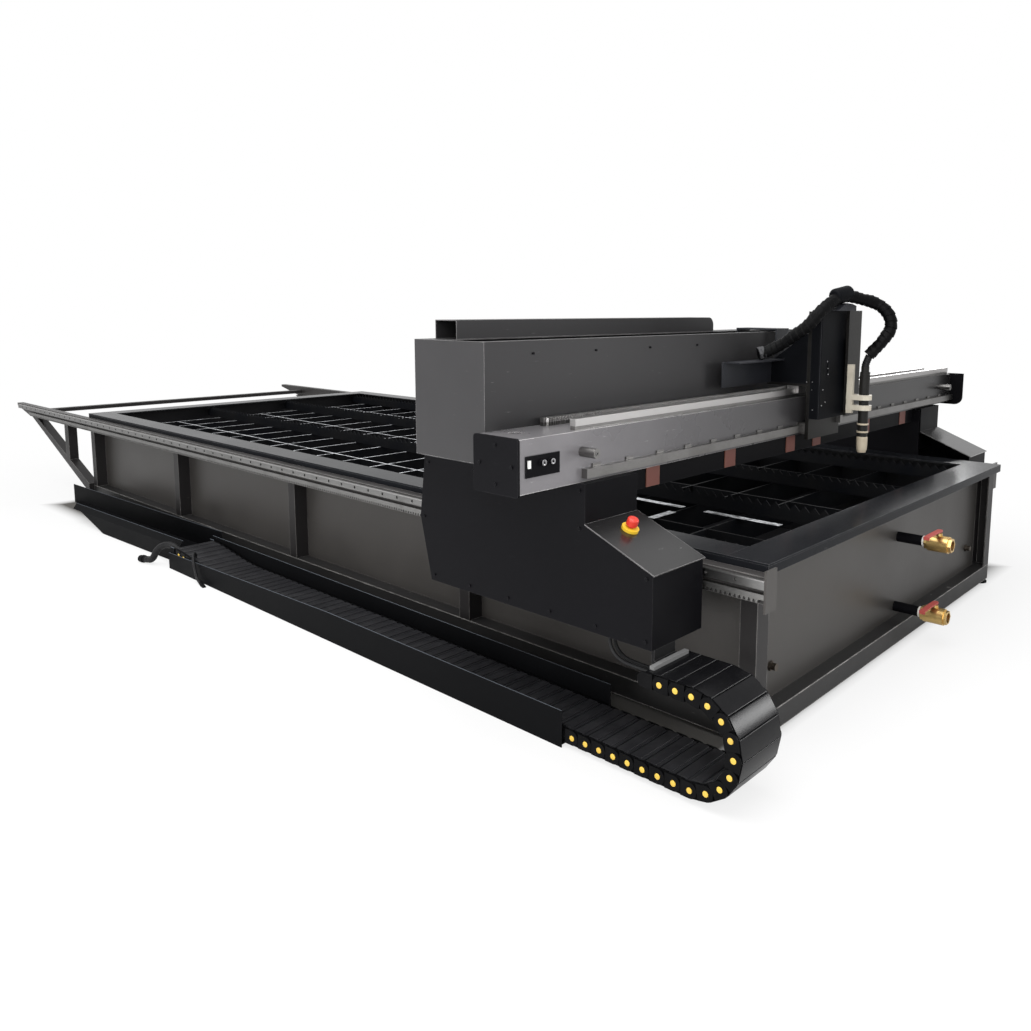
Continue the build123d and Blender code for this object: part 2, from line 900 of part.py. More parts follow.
def make_lever(z):
    middle = pan_x + pipe_len + valve_len / 2
    ball = Pos(middle, drain_y, z) * Sphere(ball_r)
    ball -= rod((middle, drain_y - 2 * ball_r, z), (0, 1, 0), valve_bore_r, 4 * ball_r)
    stem = rod((middle, drain_y, z), (0, 0, 1), stem_r, lever_lift + lever_t)
    stem -= rod((middle, drain_y - 2 * ball_r, z), (0, 1, 0), valve_bore_r, 4 * ball_r)
    low = z + lever_lift
    grip = block(
        middle - lever_w / 2, middle + lever_w / 2, drain_y - lever_len, drain_y, low, low + lever_t)
    grip += rod((middle, drain_y, low), (0, 0, 1), lever_w / 2, lever_t)
    grip += rod((middle, drain_y, low - 4), (0, 0, 1), 2 * stem_r, 4)
    edge = block(
        middle - lever_w / 2, middle + lever_w / 2, drain_y - lever_len - lever_t, drain_y - lever_len,
        low - 2 * lever_t, low + lever_t)
    return ball + stem + grip + edge


def make_ports():
    ports = []
    for y in (-port_y, port_y):
        flat = Plane((pan_x, y, port_z), x_dir=(0, 1, 0), z_dir=(1, 0, 0))
        port = extrude(flat * RegularPolygon(port_r * 1.4, 6), port_len / 3)
        port += rod((pan_x, y, port_z), (1, 0, 0), port_r, port_len)
        ports.append(port)
    return ports


def cover_outline():
    return [
        (beam_x - cover_back_top, beam_z), (beam_x - cover_back_mid, cover_mid_z),
        (beam_x - cover_back_low, cover_low_z), (beam_x + console_front, cover_low_z),
        (beam_x + console_front, console_low_z), (beam_x + cover_front, console_top_z),
        (beam_x + cover_front, beam_z)]


def make_cover():
    outer = cover_outline()
    cover = slab_xz(outer, -side_out, -side_in - pinion_gap)
    cover -= slab_xz(inset(outer, cover_t), -side_out + cover_t, -side_in)
    return cover - block(
        beam_back - pinion_gap, beam_x + pinion_gap, -side_out + 2 * cover_t, -side_in, beam_z - leg_t,
        beam_z + 1)


def make_leg():
    shell = inset(cover_outline(), cover_t + cover_clear)
    plate = slab_xz(shell, -side_in - leg_t, -side_in)
    plate &= block(
        beam_x - 2 * cover_back_mid, beam_x + cover_front - cover_t - cover_clear, -side_in - leg_t,
        -side_in, leg_low_z, beam_z)
    out = -side_out + 4 * cover_t
    leg = plate + block(beam_back, beam_x, out, -side_in, beam_z - leg_t, beam_z)
    for x in (beam_back, beam_x - leg_t):
        leg += block(x, x + leg_t, out, -side_in, console_low_z, beam_z)
    hole = rod((drive_x, -side_out, drive_z), (0, 1, 0), shaft_r + shaft_fit, side_out)
    return leg - hole


def make_lid():
    high = (beam_x + cover_front, console_top_z)
    low = (beam_x + console_front, console_low_z)
    length = hypot(low[0] - high[0], low[1] - high[1])
    along = ((low[0] - high[0]) / length, (low[1] - high[1]) / length)
    up = (-along[1], along[0])
    end = (low[0] + along[0] * lid_over, low[1] + along[1] * lid_over)
    points = [
        high, end, (end[0] + up[0] * lid_t, end[1] + up[1] * lid_t),
        (high[0] + up[0] * lid_t, high[1] + up[1] * lid_t)]
    return slab_xz(points, -side_out - lid_side, -side_in)


def lid_plane():
    dx, dz = console_front - cover_front, console_low_z - console_top_z
    length = hypot(dx, dz)
    normal = (-dz / length, 0, dx / length)
    x = beam_x + cover_front + estop_along * dx + normal[0] * lid_t
    z = console_top_z + estop_along * dz + normal[2] * lid_t
    return Plane((x, estop_y, z), x_dir=(0, 1, 0), z_dir=normal)


def make_estop():
    plane = lid_plane()
    base = extrude(plane * Circle(estop_ring_r), estop_ring_h)
    base = fillet(base.edges().group_by(SortBy.LENGTH)[-1].filter_by(GeomType.CIRCLE)[:1], 1.5)
    sunk = plane.offset(estop_floor)
    base -= extrude(sunk * Circle(estop_stem_r + estop_fit), estop_ring_h)
    stem_start = plane.offset(estop_floor + estop_travel + 1)
    stem = extrude(stem_start * Circle(estop_stem_r), estop_ring_h + estop_gap - estop_floor - estop_travel)
    head_start = plane.offset(estop_ring_h + estop_gap)
    head = extrude(head_start * Circle(estop_head_r), estop_head_h)
    top = head.faces().sort_by(Axis(plane.origin, plane.z_dir))[-1]
    head = fillet(top.edges(), 8)
    return base, stem + head


def make_blocks():
    blocks = []
    y_in = -side_in + block_reach
    for back in block_back:
        x = beam_x - back
        carrier = block(x - block_len / 2, x + block_len / 2, -side_in, y_in, block_z, block_z + block_h)
        carrier -= block(
            x - block_len, x + block_len, guide_face - guide_fit, y_in + 1, guide_z - guide_fit,
            guide_z + guide_h + guide_fit)
        blocks += [carrier, far(carrier)]
    return blocks


def make_motors():
    wall = -side_in - leg_t
    half, small = gearbox_w / 2, motor_w / 2
    motor = block(drive_x - half, drive_x + half, wall - gearbox_len, wall, drive_z - half, drive_z + half)
    motor += block(
        drive_x - small, drive_x + small, wall - gearbox_len - motor_len, wall - gearbox_len,
        drive_z - small, drive_z + small)
    motor -= rod((drive_x, wall - gearbox_len + 8, drive_z), (0, 1, 0), shaft_r + shaft_fit, gearbox_len)
    return [motor, far(motor)]


def make_pinion():
    plane = Plane((drive_x, tube_face - pinion_gap, drive_z), x_dir=(0, 0, 1), z_dir=(0, -1, 0))
    gear = extrude(plane * Polygon(*pinion_outline(drive_module, drive_teeth), align=None), pinion_w, dir=(0, -1, 0))
    return gear + rod((drive_x, tube_face - pinion_gap - pinion_w, drive_z), (0, -1, 0), shaft_r, shaft_len)


def make_beam():
    beam = block(beam_back, beam_x, -beam_half, beam_half, beam_z, beam_top)
    beam -= block(
        beam_back + beam_t, beam_x - beam_t, -beam_half - 1, beam_half + 1, beam_z + beam_t, beam_top - beam_t)
    return beam - rod(
        (beam_x - beam_hole_back, beam_hole_y, beam_top - 2 * beam_t), (0, 0, 1), beam_hole_r, 3 * beam_t)


def make_end_plates():
    x0, x1 = beam_back - plate_lip, beam_x + plate_lip
    near = block(
        x0, x1, -beam_half - plate_t, -beam_half, beam_z - plate_drop, beam_top + plate_lip)
    near = fillet(near.edges().filter_by(Axis.Y), near_plate_r)
    low, high = beam_z - far_plate_drop, beam_top + plate_lip
    front = beam_x + far_plate_front
    back = block(x0, front, beam_half, beam_half + plate_t, low, high)
    corner = back.edges().filter_by(Axis.Y).sort_by(Axis.X)[-2:].sort_by(Axis.Z)[0]
    return [near, fillet(corner, far_plate_r)]


def make_top_rail():
    x0 = beam_x - top_rail_back - top_rail_w
    x1 = x0 + top_rail_w
    low = beam_top + top_rail_lift
    rail = block(x0, x1, top_rail_y, beam_rail_end, low, low + top_rail_h)
    rail += block(x0 + riser_side, x1 - riser_side, top_rail_y, beam_rail_end, beam_top, low)
    length = beam_rail_end - top_rail_y
    count = int(length / top_hole_pitch)
    first = top_rail_y + (length - (count - 1) * top_hole_pitch) / 2
    holes = []
    for i in range(count):
        place = ((x0 + x1) / 2, first + i * top_hole_pitch, low + top_rail_h - top_hole_d)
        holes.append(rod(place, (0, 0, 1), top_hole_r, top_hole_d))
    return rail - holes


def make_beam_rails():
    x1 = beam_x + front_rail_d
    parts = [block(beam_x, x1, front_rail_y, beam_rail_end, front_rail_z, front_rail_z + front_rail_h)]
    parts.append(make_top_rail())
    count = int((beam_rail_end - front_rail_y - clip_pitch / 2) / clip_pitch) + 1
    low = front_rail_z + front_rail_h
    for i in range(count):
        y = front_rail_y + clip_pitch * (i + 0.4)
        parts.append(block(beam_x, beam_x + clip_d, y - clip_len / 2, y + clip_len / 2, low, low + clip_h))
    return parts


def make_beam_rack():
    line = rack_line(carriage_module, top_rail_y, beam_rail_end, travel_motor_y)
    root_x = beam_rack_tip - (addendum_share + dedendum_share) * carriage_module
    back = beam_rack_tip - beam_rack_w
    points = [(back, top_rail_y), (root_x, top_rail_y)]
    points += [(beam_rack_tip - depth, y) for y, depth in line]
    points += [(root_x, beam_rail_end), (back, beam_rail_end)]
    return slab_xy(points, beam_top, beam_top + beam_rack_h)


def make_travel_pinion():
    outline = pinion_outline(carriage_module, carriage_teeth)
    turned = [(-x, -y) for x, y in outline]
    plane = Plane((travel_x, travel_motor_y, travel_pinion_z), x_dir=(1, 0, 0), z_dir=(0, 0, 1))
    gear = extrude(plane * Polygon(*turned, align=None), travel_pinion_w, dir=(0, 0, 1))
    top = travel_pinion_z + travel_pinion_w
    return gear + rod((travel_x, travel_motor_y, top), (0, 0, 1), travel_shaft_r, travel_shaft_top - top)


def make_bumpers():
    return [rod((beam_x, y, bumper_z), (1, 0, 0), bumper_r, bumper_len) for y in bumper_y]


def rocker_centre():
    return panel_y + rocker_inset, panel_z + panel_h - rocker_inset - rocker_h / 2


def make_panel():
    y, z = rocker_centre()
    plate = block(beam_x, beam_x + panel_t, panel_y, panel_y + panel_w, panel_z, panel_z + panel_h)
    plate -= block(
        beam_x - 1, beam_x + panel_t + 1, y - rocker_w / 2 - rocker_gap, y + rocker_w / 2 + rocker_gap,
        z - rocker_h / 2 - rocker_gap, z + rocker_h / 2 + rocker_gap)
    parts = [plate]
    for i in (1, 2):
        parts.append(rod(
            (beam_x + panel_t, panel_y + panel_w * (0.2 + 0.26 * i), z), (1, 0, 0), socket_r, socket_len))
    return parts


def make_rocker():
    y, z = rocker_centre()
    half = rocker_h / 2
    points = [
        (beam_x + rocker_gap, z), (beam_x + panel_t, z + half), (beam_x + rocker_d, z + half),
        (beam_x + rocker_d, z - half), (beam_x + panel_t, z - half)]
    return slab_xz(points, y - rocker_w / 2, y + rocker_w / 2)


def make_skirt():
    x0 = beam_x - skirt_back
    return block(x0, x0 + skirt_t, -skirt_half, skirt_half, skirt_z, beam_z)


def make_tabs():
    x0 = beam_x - skirt_back + skirt_t
    top = beam_z - 2
    return [block(x0, x0 + skirt_t, y - tab_w / 2, y + tab_w / 2, top - tab_h, top) for y in tab_y]


def make_case():
    x0 = beam_x - case_back
    case = block(x0, beam_back, case_y, case_end, case_z, case_top)
    case -= block(
        x0 + case_t, beam_back - case_t, case_y + case_t, case_end - case_t, case_z + case_t, case_top - case_t)
    return case - block(
        x0 + case_back_flange, beam_back - case_front_flange, case_y + case_t, case_end - case_t,
        case_top - 2 * case_t, case_top + 1)


def make_guard():
    x0 = beam_x - guard_back
    high = case_top + guard_h

    def arch(x_a, x_b, y_a, y_b, top, radius):
        points = [(y_a, case_top), (y_b, case_top)]
        for i in range(9):
            angle = pi / 2 * i / 8
            points.append((y_b - radius + radius * cos(angle), top - radius + radius * sin(angle)))
        points.append((y_a, top))
        return slab_yz(points, x_a, x_b)

    guard = arch(x0, x0 + guard_w, guard_y, guard_end, high, guard_r)
    return guard - arch(
        x0 + guard_t, x0 + guard_w - guard_t, guard_y - 1, guard_end - guard_t, high - guard_t, guard_r - guard_t)


def make_case_chain():
    low = case_chain_z - case_chain_h / 2
    x0 = strap_back - case_chain_w / 2
    points = ribbed(case_chain_loop_y, case_link, int((case_chain_fixed_y - case_chain_loop_y) / case_link),
                    low, case_chain_h)
    chain = slab_yz(points, x0, x0 + case_chain_w)
    high = low + 2 * case_chain_r
    points = ribbed(case_chain_loop_y, case_link, int((strap_w / 2 - case_chain_loop_y) / case_link),
                    high, case_chain_h)
    chain += slab_yz(points, x0, x0 + case_chain_w)
    plane = Plane((x0, 0, 0), x_dir=(0, 1, 0), z_dir=(1, 0, 0))
    middle = Pos(case_chain_loop_y, case_chain_z + case_chain_r)
    ring = middle * Circle(case_chain_r + case_chain_h / 2) - middle * Circle(case_chain_r - case_chain_h / 2)
    side = case_chain_r + case_chain_h
    ring &= Pos(case_chain_loop_y - side, case_chain_z + case_chain_r) * Rectangle(2 * side, 2 * side)
    chain += extrude(plane * ring, case_chain_w)
    foot_y = case_chain_fixed_y - case_chain_h
    return chain + block(
        x0, x0 + case_chain_w, foot_y - case_chain_h, foot_y - link_gap, case_z + case_t, low + link_notch)


def make_screws():
    heads = []
    ring = inset(cover_outline(), screw_inset)
    for i in range(len(ring)):
        a, b = ring[i], ring[(i + 1) % len(ring)]
        count = max(1, round(hypot(b[0] - a[0], b[1] - a[1]) / screw_pitch))
        for k in range(count):
            x, z = a[0] + (b[0] - a[0]) * k / count, a[1] + (b[1] - a[1]) * k / count
            head = rod((x, -side_out, z), (0, -1, 0), screw_r, screw_h)
            heads += [head, far(head)]
    for k in range(case_screws):
        y = case_screw_y + k * case_screw_pitch
        heads.append(rod((beam_back, y, case_top - case_screw_drop), (1, 0, 0), case_screw_r, screw_h))
    mid_x, mid_z = beam_x - beam_d / 2, beam_z + beam_h / 2
    for x, z in ((beam_back + screw_inset, mid_z), (beam_x - screw_inset, mid_z),
                 (mid_x, beam_z + screw_inset), (mid_x, beam_top - screw_inset)):
        head = rod((x, -beam_half - plate_t, z), (0, -1, 0), screw_r, screw_h)
        heads += [head, far(head)]
    return heads


def make_carriage_plate():
    right = car_end + car_plate_side
    plate = block(car_plate_x, car_face, car_y, right, car_plate_low, car_plate_top)
    plate += block(beam_x - saddle_back, car_plate_x, car_y, car_end, saddle_z, saddle_top)
    x = car_face + screw_x
    foot = block(
        car_face, x + screw_rod_r + nut_wall - 2, screw_y - screw_foot_w / 2, screw_y + screw_foot_w / 2,
        screw_foot_z, screw_foot_z + screw_foot_h)
    plate += foot
    plate -= rod((x, screw_y, screw_foot_z - 1), (0, 0, 1), screw_rod_r + shaft_fit, screw_foot_h + 2)
    return plate - rod(
        (travel_x, travel_motor_y, saddle_z - 1), (0, 0, 1), travel_shaft_r + shaft_fit, saddle_t + 2)


def make_carriage_guides():
    parts = []
    low = front_rail_z - car_block_lip
    high = front_rail_z + front_rail_h + car_block_lip
    x0 = beam_x + car_block_gap
    rail_x = beam_x - top_rail_back - top_rail_w
    rail_low = beam_top + top_rail_lift
    for y in car_block_y:
        a, b = y - car_block_len / 2, y + car_block_len / 2
        front = block(x0, car_plate_x, a, b, low, high)
        front -= block(
            x0 - 1, beam_x + front_rail_d + guide_fit, a - 1, b + 1, front_rail_z - guide_fit,
            front_rail_z + front_rail_h + guide_fit)
        top = block(
            rail_x - top_block_side, rail_x + top_rail_w + top_block_side, a, b, rail_low + car_block_lip / 2,
            saddle_z)
        top -= block(
            rail_x - guide_fit, rail_x + top_rail_w + guide_fit, a - 1, b + 1, rail_low,
            rail_low + top_rail_h + guide_fit)
        parts += [front, top]
    parts.append(block(
        car_face, car_face + lift_rail_d, lift_rail_y, lift_rail_y + lift_rail_w, lift_rail_low, lift_rail_top))
    return parts


def make_hood():
    x0, slope_x = beam_x - saddle_back, beam_x + hood_slope_end
    outer = [
        (x0, saddle_top), (car_plate_x, saddle_top), (car_plate_x, hood_top_z), (slope_x, hood_top_z),
        (x0, hood_low_z)]
    hood = slab_xz(outer, car_y, car_end)
    inner = [
        (x0 + hood_t, saddle_top - 1), (car_plate_x - hood_t, saddle_top - 1),
        (car_plate_x - hood_t, hood_top_z - hood_t), (slope_x + 1, hood_top_z - hood_t),
        (x0 + hood_t, hood_low_z - 1)]
    return hood - slab_xz(inner, car_y + hood_t, car_end - hood_t)


def make_column():
    column = block(car_face, column_face, car_y, car_end, column_low, column_top)
    edges = column.edges().filter_by(Axis.Z).sort_by(Axis.X)[-2:]
    column = fillet(edges, column_r)
    column -= block(
        car_face - 1, column_face - hood_t, car_y + hood_t, car_end - hood_t, column_low + hood_t,
        column_top - hood_t)
    column -= block(
        column_face - 2 * hood_t, column_face + 1, window_y, window_y + window_w, window_z, window_z + window_h)
    return column - block(
        car_face + slot_x, car_face + slot_x + slot_w, car_end - 2 * hood_t, car_end + 1, slot_low, slot_top)


def make_carriage_motors():
    half, small = travel_gear_w / 2, travel_motor_w / 2
    x, y, low = travel_x, travel_motor_y, saddle_top
    motor = block(x - half, x + half, y - half, y + half, low, low + travel_gear_h)
    motor += block(
        x - small, x + small, y - small, y + small, low + travel_gear_h, low + travel_gear_h + travel_motor_h)
    motor -= rod((x, y, low - 1), (0, 0, 1), travel_shaft_r + shaft_fit, travel_shaft_top - low + 3)
    lift = block(
        car_face, car_face + lift_motor_w, screw_y - lift_motor_w / 2, screw_y + lift_motor_w / 2,
        lift_motor_z, lift_motor_z + lift_motor_h)
    lift -= rod(
        (car_face + screw_x, screw_y, lift_motor_z - 1), (0, 0, 1), screw_rod_r + shaft_fit, screw_over + 3)
    return [motor, lift]


def make_lift_screw():
    return rod(
        (car_face + screw_x, screw_y, screw_low), (0, 0, 1), screw_rod_r, lift_motor_z + screw_over - screw_low)


def make_arm():
    x1 = arm_x + arm_t
    arm = block(arm_x, x1, arm_y, car_y, arm_z, arm_top)
    arm += block(arm_x, arm_x + arm_shelf, arm_y + bar_w, car_y, arm_top - arm_t, arm_top)
    hood_back = beam_x - saddle_back
    middle = car_y + car_w / 2
    a, b = middle - strap_w / 2, middle + strap_w / 2
    strap = block(hood_back - strap_t, hood_back, a, b, strap_low, strap_z + strap_t)
    strap += block(strap_back, hood_back, a, b, strap_z, strap_z + strap_t)
    chain_high = case_chain_z + 2 * case_chain_r + case_chain_h / 2
    strap += block(strap_back, strap_back + strap_t, a, b, chain_high, strap_z)
    foot = [(rest_profile[-1][0], column_top), (rest_profile[0][0], column_top)]
    rest = slab_yz(rest_profile + foot, rest_x, rest_x + rest_len)
    return [arm, strap, rest]


def make_lift_plate():
    plate = block(
        lift_x, lift_face, lift_plate_y, lift_plate_y + lift_plate_w, lift_plate_low, lift_plate_top)
    y0, y1 = lift_rail_y - lift_block_lip, lift_rail_y + lift_rail_w + lift_block_lip
    carrier = block(car_face + lift_block_gap, lift_x, y0, y1, lift_block_low, lift_block_top)
    carrier -= block(
        car_face, car_face + lift_rail_d + guide_fit, lift_rail_y - guide_fit,
        lift_rail_y + lift_rail_w + guide_fit, lift_block_low - 1, lift_block_top + 1)
    x = car_face + screw_x
    nut = block(
        x - nut_w / 2, x + nut_w / 2, screw_y, y0, nut_z, nut_z + nut_h)
    nut += rod((x, screw_y, nut_z), (0, 0, 1), screw_rod_r + nut_wall, nut_h)
    nut -= rod((x, screw_y, nut_z - 1), (0, 0, 1), screw_rod_r + shaft_fit, nut_h + 2)
    return plate + carrier + nut


def make_torch_mount():
    mount = block(
        lift_face, lift_face + mount_d, mount_y + bar_w / 2, mount_y + mount_w, mount_low, mount_top)
    for z in clamp_z:
        mount += rod((torch_x, torch_y, z), (0, 0, 1), clamp_r, clamp_h)
        mount += block(lift_face, torch_x, torch_y - clamp_r, torch_y + clamp_r / 2, z, z + clamp_h)
    return mount - rod((torch_x, torch_y, mount_low - 1), (0, 0, 1), torch_r + clamp_fit, mount_top)


def make_torch():
    body = rod((torch_x, torch_y, torch_low), (0, 0, 1), torch_r, torch_top - torch_low)
    return body + rod((torch_x, torch_y, torch_top), (0, 0, 1), torch_cap_r, torch_cap_h)


def make_nozzle():
    lines = [
        (0, tip_low), (nozzle_tip_r, tip_low), (nozzle_r * 0.93, nozzle_low), (nozzle_r, nozzle_low + nozzle_r),
        (nozzle_r, torch_low - 6), (torch_r, torch_low), (0, torch_low)]
    face = Plane.XZ * Polygon(*lines, align=None)
    parts = [Pos(torch_x, torch_y, 0) * revolve(face, Axis.Z)]
    for z in collar_z:
        ring = rod((torch_x, torch_y, z), (0, 0, 1), collar_r, collar_h)
        parts.append(ring - rod((torch_x, torch_y, z - 1), (0, 0, 1), torch_r + clamp_fit, collar_h + 2))
    return parts


def make_tube(route, radius):
    points = [Vector(*p) for p in route]
    radii = []
    for before, here, after in zip(points, points[1:], points[2:]):
        first, second = here - before, after - here
        turn = radians(first.get_angle(second))
        radii.append(0.45 * min(first.length, second.length) / tan(turn / 2))
    path = FilletPolyline(*points, radius=radii)
    print("route", round(path.length), "mm, radii", [round(r) for r in radii])
    start = Plane(points[0], z_dir=points[1] - points[0])
    return sweep(start * Circle(radius), path=path)


def hose_route():
    reach = hose_loop_r / cos(hose_turn / 2)
    flat, rise = [], []
    for i in range(hose_bends):
        angle = pi / 2 - hose_turn / 2 - i * hose_turn
        flat.append(hose_loop_out + reach * cos(angle))
        rise.append(hose_loop_z + reach * sin(angle))
    last = pi / 2 - hose_bends * hose_turn
    flat.append(flat[-1] + hose_tail * sin(last))
    rise.append(rise[-1] - hose_tail * cos(last))
    return hose_start + [
        (torch_x + f * hose_out[0], torch_y + f * hose_out[1], z) for f, z in zip(flat, rise)]


def whip_route():
    top = torch_top + torch_cap_h
    return [(torch_x, torch_y, top), (torch_x, torch_y, top + whip_up), hose_route()[-1]]


def make_plug(route, radius, length):
    start, end = Vector(*route[-2]), Vector(*route[-1])
    return extrude(Plane(end, z_dir=(end - start).normalized()) * Circle(radius), length)


save("base_frame", make_base_frame())
save("leveling_feet", *make_feet())
save("side_posts", *make_posts())
save("water_pan", *make_pan())
save("top_rim", *make_rim())
save("slat_combs", *make_combs())
save("support_grid", *make_grid(), *make_strips())
save("rail_tubes", *both_sides(make_tube_rail), *both_sides(make_rail_plate))
save("linear_rails", *both_sides(make_guide))
save("gear_racks", *both_sides(make_rack))
save("overhang_frame", *make_overhang())
save("chain_trough", make_trough(), make_extension(), make_anchor())
save("chain_lower_run", make_lower_run())
save("chain_loop", make_loop())
save("chain_upper_run", make_upper_run())
save("chain_hanger", make_hanger())
save("drain_pipes", *make_pipes())
save("valve_bodies", *[make_valve(z) for z in drain_z])
save("lower_valve_lever", make_lever(drain_z[0]))
save("upper_valve_lever", make_lever(drain_z[1]))
save("pan_ports", *make_ports())
save("signal_lead", make_tube(tail_route, tail_r), make_tube(lead_path(), lead_r))
save("lead_plug", make_plug(tail_route, tail_plug_r, tail_plug_len), make_plug(lead_route, plug_r, plug_len))

save("gantry_beam", make_beam())
save("beam_end_plates", *make_end_plates())
leg = make_leg()
save("gantry_legs", leg, far(leg))
cover = make_cover()
save("near_cover", cover)
save("far_cover", far(cover))
lid = make_lid()
save("console_lids", lid, far(lid))
save("gantry_bearings", *make_blocks())
save("gantry_motors", *make_motors())
pinion = make_pinion()
save("near_pinion", pinion)
save("far_pinion", far(pinion))
save("beam_rails", *make_beam_rails())
save("beam_rack", make_beam_rack())
save("beam_bumpers", *make_bumpers())
save("control_plate", *make_panel())
save("rocker_switch", make_rocker())
save("beam_skirt", make_skirt())
save("skirt_tabs", *make_tabs())
save("cable_case", make_case())
save("case_guard", make_guard())
save("case_chain", make_case_chain())
save("cover_screws", *make_screws())
estop_base, estop_button = make_estop()
save("estop_base", estop_base)
save("estop_button", estop_button)
feed_path = feed_route + [(upper_x, feed_end_z)]
save("feed_cables", *[make_tube([(x, y, z) for x, z in feed_path], feed_r) for y in feed_y])

save("carriage_plate", make_carriage_plate())
save("carriage_guides", *make_carriage_guides())
save("carriage_hood", make_hood())
save("column_cover", make_column())
save("carriage_motors", *make_carriage_motors())
save("travel_pinion", make_travel_pinion())
save("lift_screw", make_lift_screw())
save("cable_arm", *make_arm())
save("lift_plate", make_lift_plate())
save("torch_mount", make_torch_mount())
save("torch_body", make_torch())
save("torch_nozzle", *make_nozzle())
save("torch_hose", make_tube(hose_route(), hose_r), make_tube(whip_route(), whip_r))
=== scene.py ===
import math
import bpy
import numpy as np
from mathutils import Matrix, Vector


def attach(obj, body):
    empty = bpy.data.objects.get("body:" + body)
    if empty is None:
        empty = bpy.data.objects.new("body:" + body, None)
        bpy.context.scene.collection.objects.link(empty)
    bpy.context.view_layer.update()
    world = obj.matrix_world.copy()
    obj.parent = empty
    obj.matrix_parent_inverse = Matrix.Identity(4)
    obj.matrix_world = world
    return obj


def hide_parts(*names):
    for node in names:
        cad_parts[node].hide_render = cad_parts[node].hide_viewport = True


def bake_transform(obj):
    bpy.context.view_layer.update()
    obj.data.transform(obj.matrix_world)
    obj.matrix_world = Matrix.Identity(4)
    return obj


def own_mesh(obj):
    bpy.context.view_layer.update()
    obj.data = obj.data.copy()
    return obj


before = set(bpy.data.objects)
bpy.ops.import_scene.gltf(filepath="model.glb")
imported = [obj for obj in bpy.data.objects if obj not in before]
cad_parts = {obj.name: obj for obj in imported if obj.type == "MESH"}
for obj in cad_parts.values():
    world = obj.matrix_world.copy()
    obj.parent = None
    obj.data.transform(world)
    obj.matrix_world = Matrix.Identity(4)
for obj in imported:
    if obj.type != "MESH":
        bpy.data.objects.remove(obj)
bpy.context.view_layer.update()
print("frame:", len(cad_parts), "CAD nodes loaded")

tableShift = 718.3    # X of the table's middle in the shared frame, in millimetres


# millimetres from the table's middle on the floor, as metres in the shared frame
def at(x, y, z):
    return Vector(((x + tableShift) / 1000, y / 1000, z / 1000))


def deselectAll():
    if bpy.context.object and bpy.context.object.mode != "OBJECT":
        bpy.ops.object.mode_set(mode="OBJECT")
    bpy.ops.object.select_all(action="DESELECT")


def makeActive(obj):
    deselectAll()
    obj.select_set(True)
    bpy.context.view_layer.objects.active = obj


# a cube pulled to its two corners, with its place in the mesh
def addBlock(name, low, high):
    deselectAll()
    low, high = Vector(low), Vector(high)
    bpy.ops.mesh.primitive_cube_add(size=1, location=(low + high) / 2)
    block = bpy.context.object
    block.name = name
    block.scale = high - low
    bpy.ops.object.transform_apply(location=True, rotation=True, scale=True)
    return block


def addRod(name, middle, radius, depth, axis, sides):
    deselectAll()
    turn = {"X": (0, math.pi / 2, 0), "Y": (math.pi / 2, 0, 0), "Z": (0, 0, 0)}[axis]
    bpy.ops.mesh.primitive_cylinder_add(vertices=sides, radius=radius, depth=depth, location=middle,
                                        rotation=turn)
    rod = bpy.context.object
    rod.name = name
    bpy.ops.object.transform_apply(location=True, rotation=True, scale=True)
    return rod


nearly = 0.001    # metres within which an edge counts as lying on a face


# an edge's direction as a share of one axis: nearly all of it, or nearly none
def isAlong(share):
    return abs(share) > 0.9


def isAcross(share):
    return abs(share) < 0.1


# selects the edges whose middle and direction pass the test, and stays in edit mode
def pickEdges(obj, test):
    makeActive(obj)
    bpy.ops.object.mode_set(mode="EDIT")
    bpy.ops.mesh.select_mode(type="EDGE")
    bpy.ops.mesh.select_all(action="DESELECT")
    bpy.ops.object.mode_set(mode="OBJECT")
    points = obj.data.vertices
    for edge in obj.data.edges:
        a, b = (points[i].co for i in edge.vertices)
        edge.select = bool(test((a + b) / 2, (b - a).normalized()))
    bpy.ops.object.mode_set(mode="EDIT")


def pickFaces(obj, test):
    makeActive(obj)
    bpy.ops.object.mode_set(mode="EDIT")
    bpy.ops.mesh.select_mode(type="FACE")
    bpy.ops.mesh.select_all(action="DESELECT")
    bpy.ops.object.mode_set(mode="OBJECT")
    for face in obj.data.polygons:
        face.select = bool(test(face.center, face.normal))
    bpy.ops.object.mode_set(mode="EDIT")


def roundEdges(obj, test, offset, segments):
    pickEdges(obj, test)
    bpy.ops.mesh.bevel(offset=offset, segments=segments, affect="EDGES")
    bpy.ops.object.mode_set(mode="OBJECT")


def smoothShade(obj, degrees):
    makeActive(obj)
    bpy.ops.object.shade_smooth_by_angle(angle=math.radians(degrees))


# takes a piece made along Z from the origin to a place and a direction
def alongRun(place, run):
    return Matrix.Translation(place) @ run.to_track_quat("Z", "Y").to_matrix().to_4x4()


def joinPieces(name, pieces):
    deselectAll()
    for piece in pieces:
        piece.select_set(True)
    bpy.context.view_layer.objects.active = pieces[0]
    if len(pieces) > 1:
        bpy.ops.object.join()
    joined = bpy.context.object
    joined.name = name
    joined.data.name = name
    return joined


# one more of the same shape, moved by a matrix, with its own mesh
def copyPiece(source, name, matrix):
    copy = source.copy()
    copy.data = source.data.copy()
    copy.name = name
    copy.data.transform(matrix)
    bpy.context.collection.objects.link(copy)
    return copy


def dropPiece(obj):
    mesh = obj.data
    bpy.data.objects.remove(obj)
    bpy.data.meshes.remove(mesh)


def dress(obj, *materials):
    obj.data.materials.clear()
    for material in materials:
        obj.data.materials.append(material)


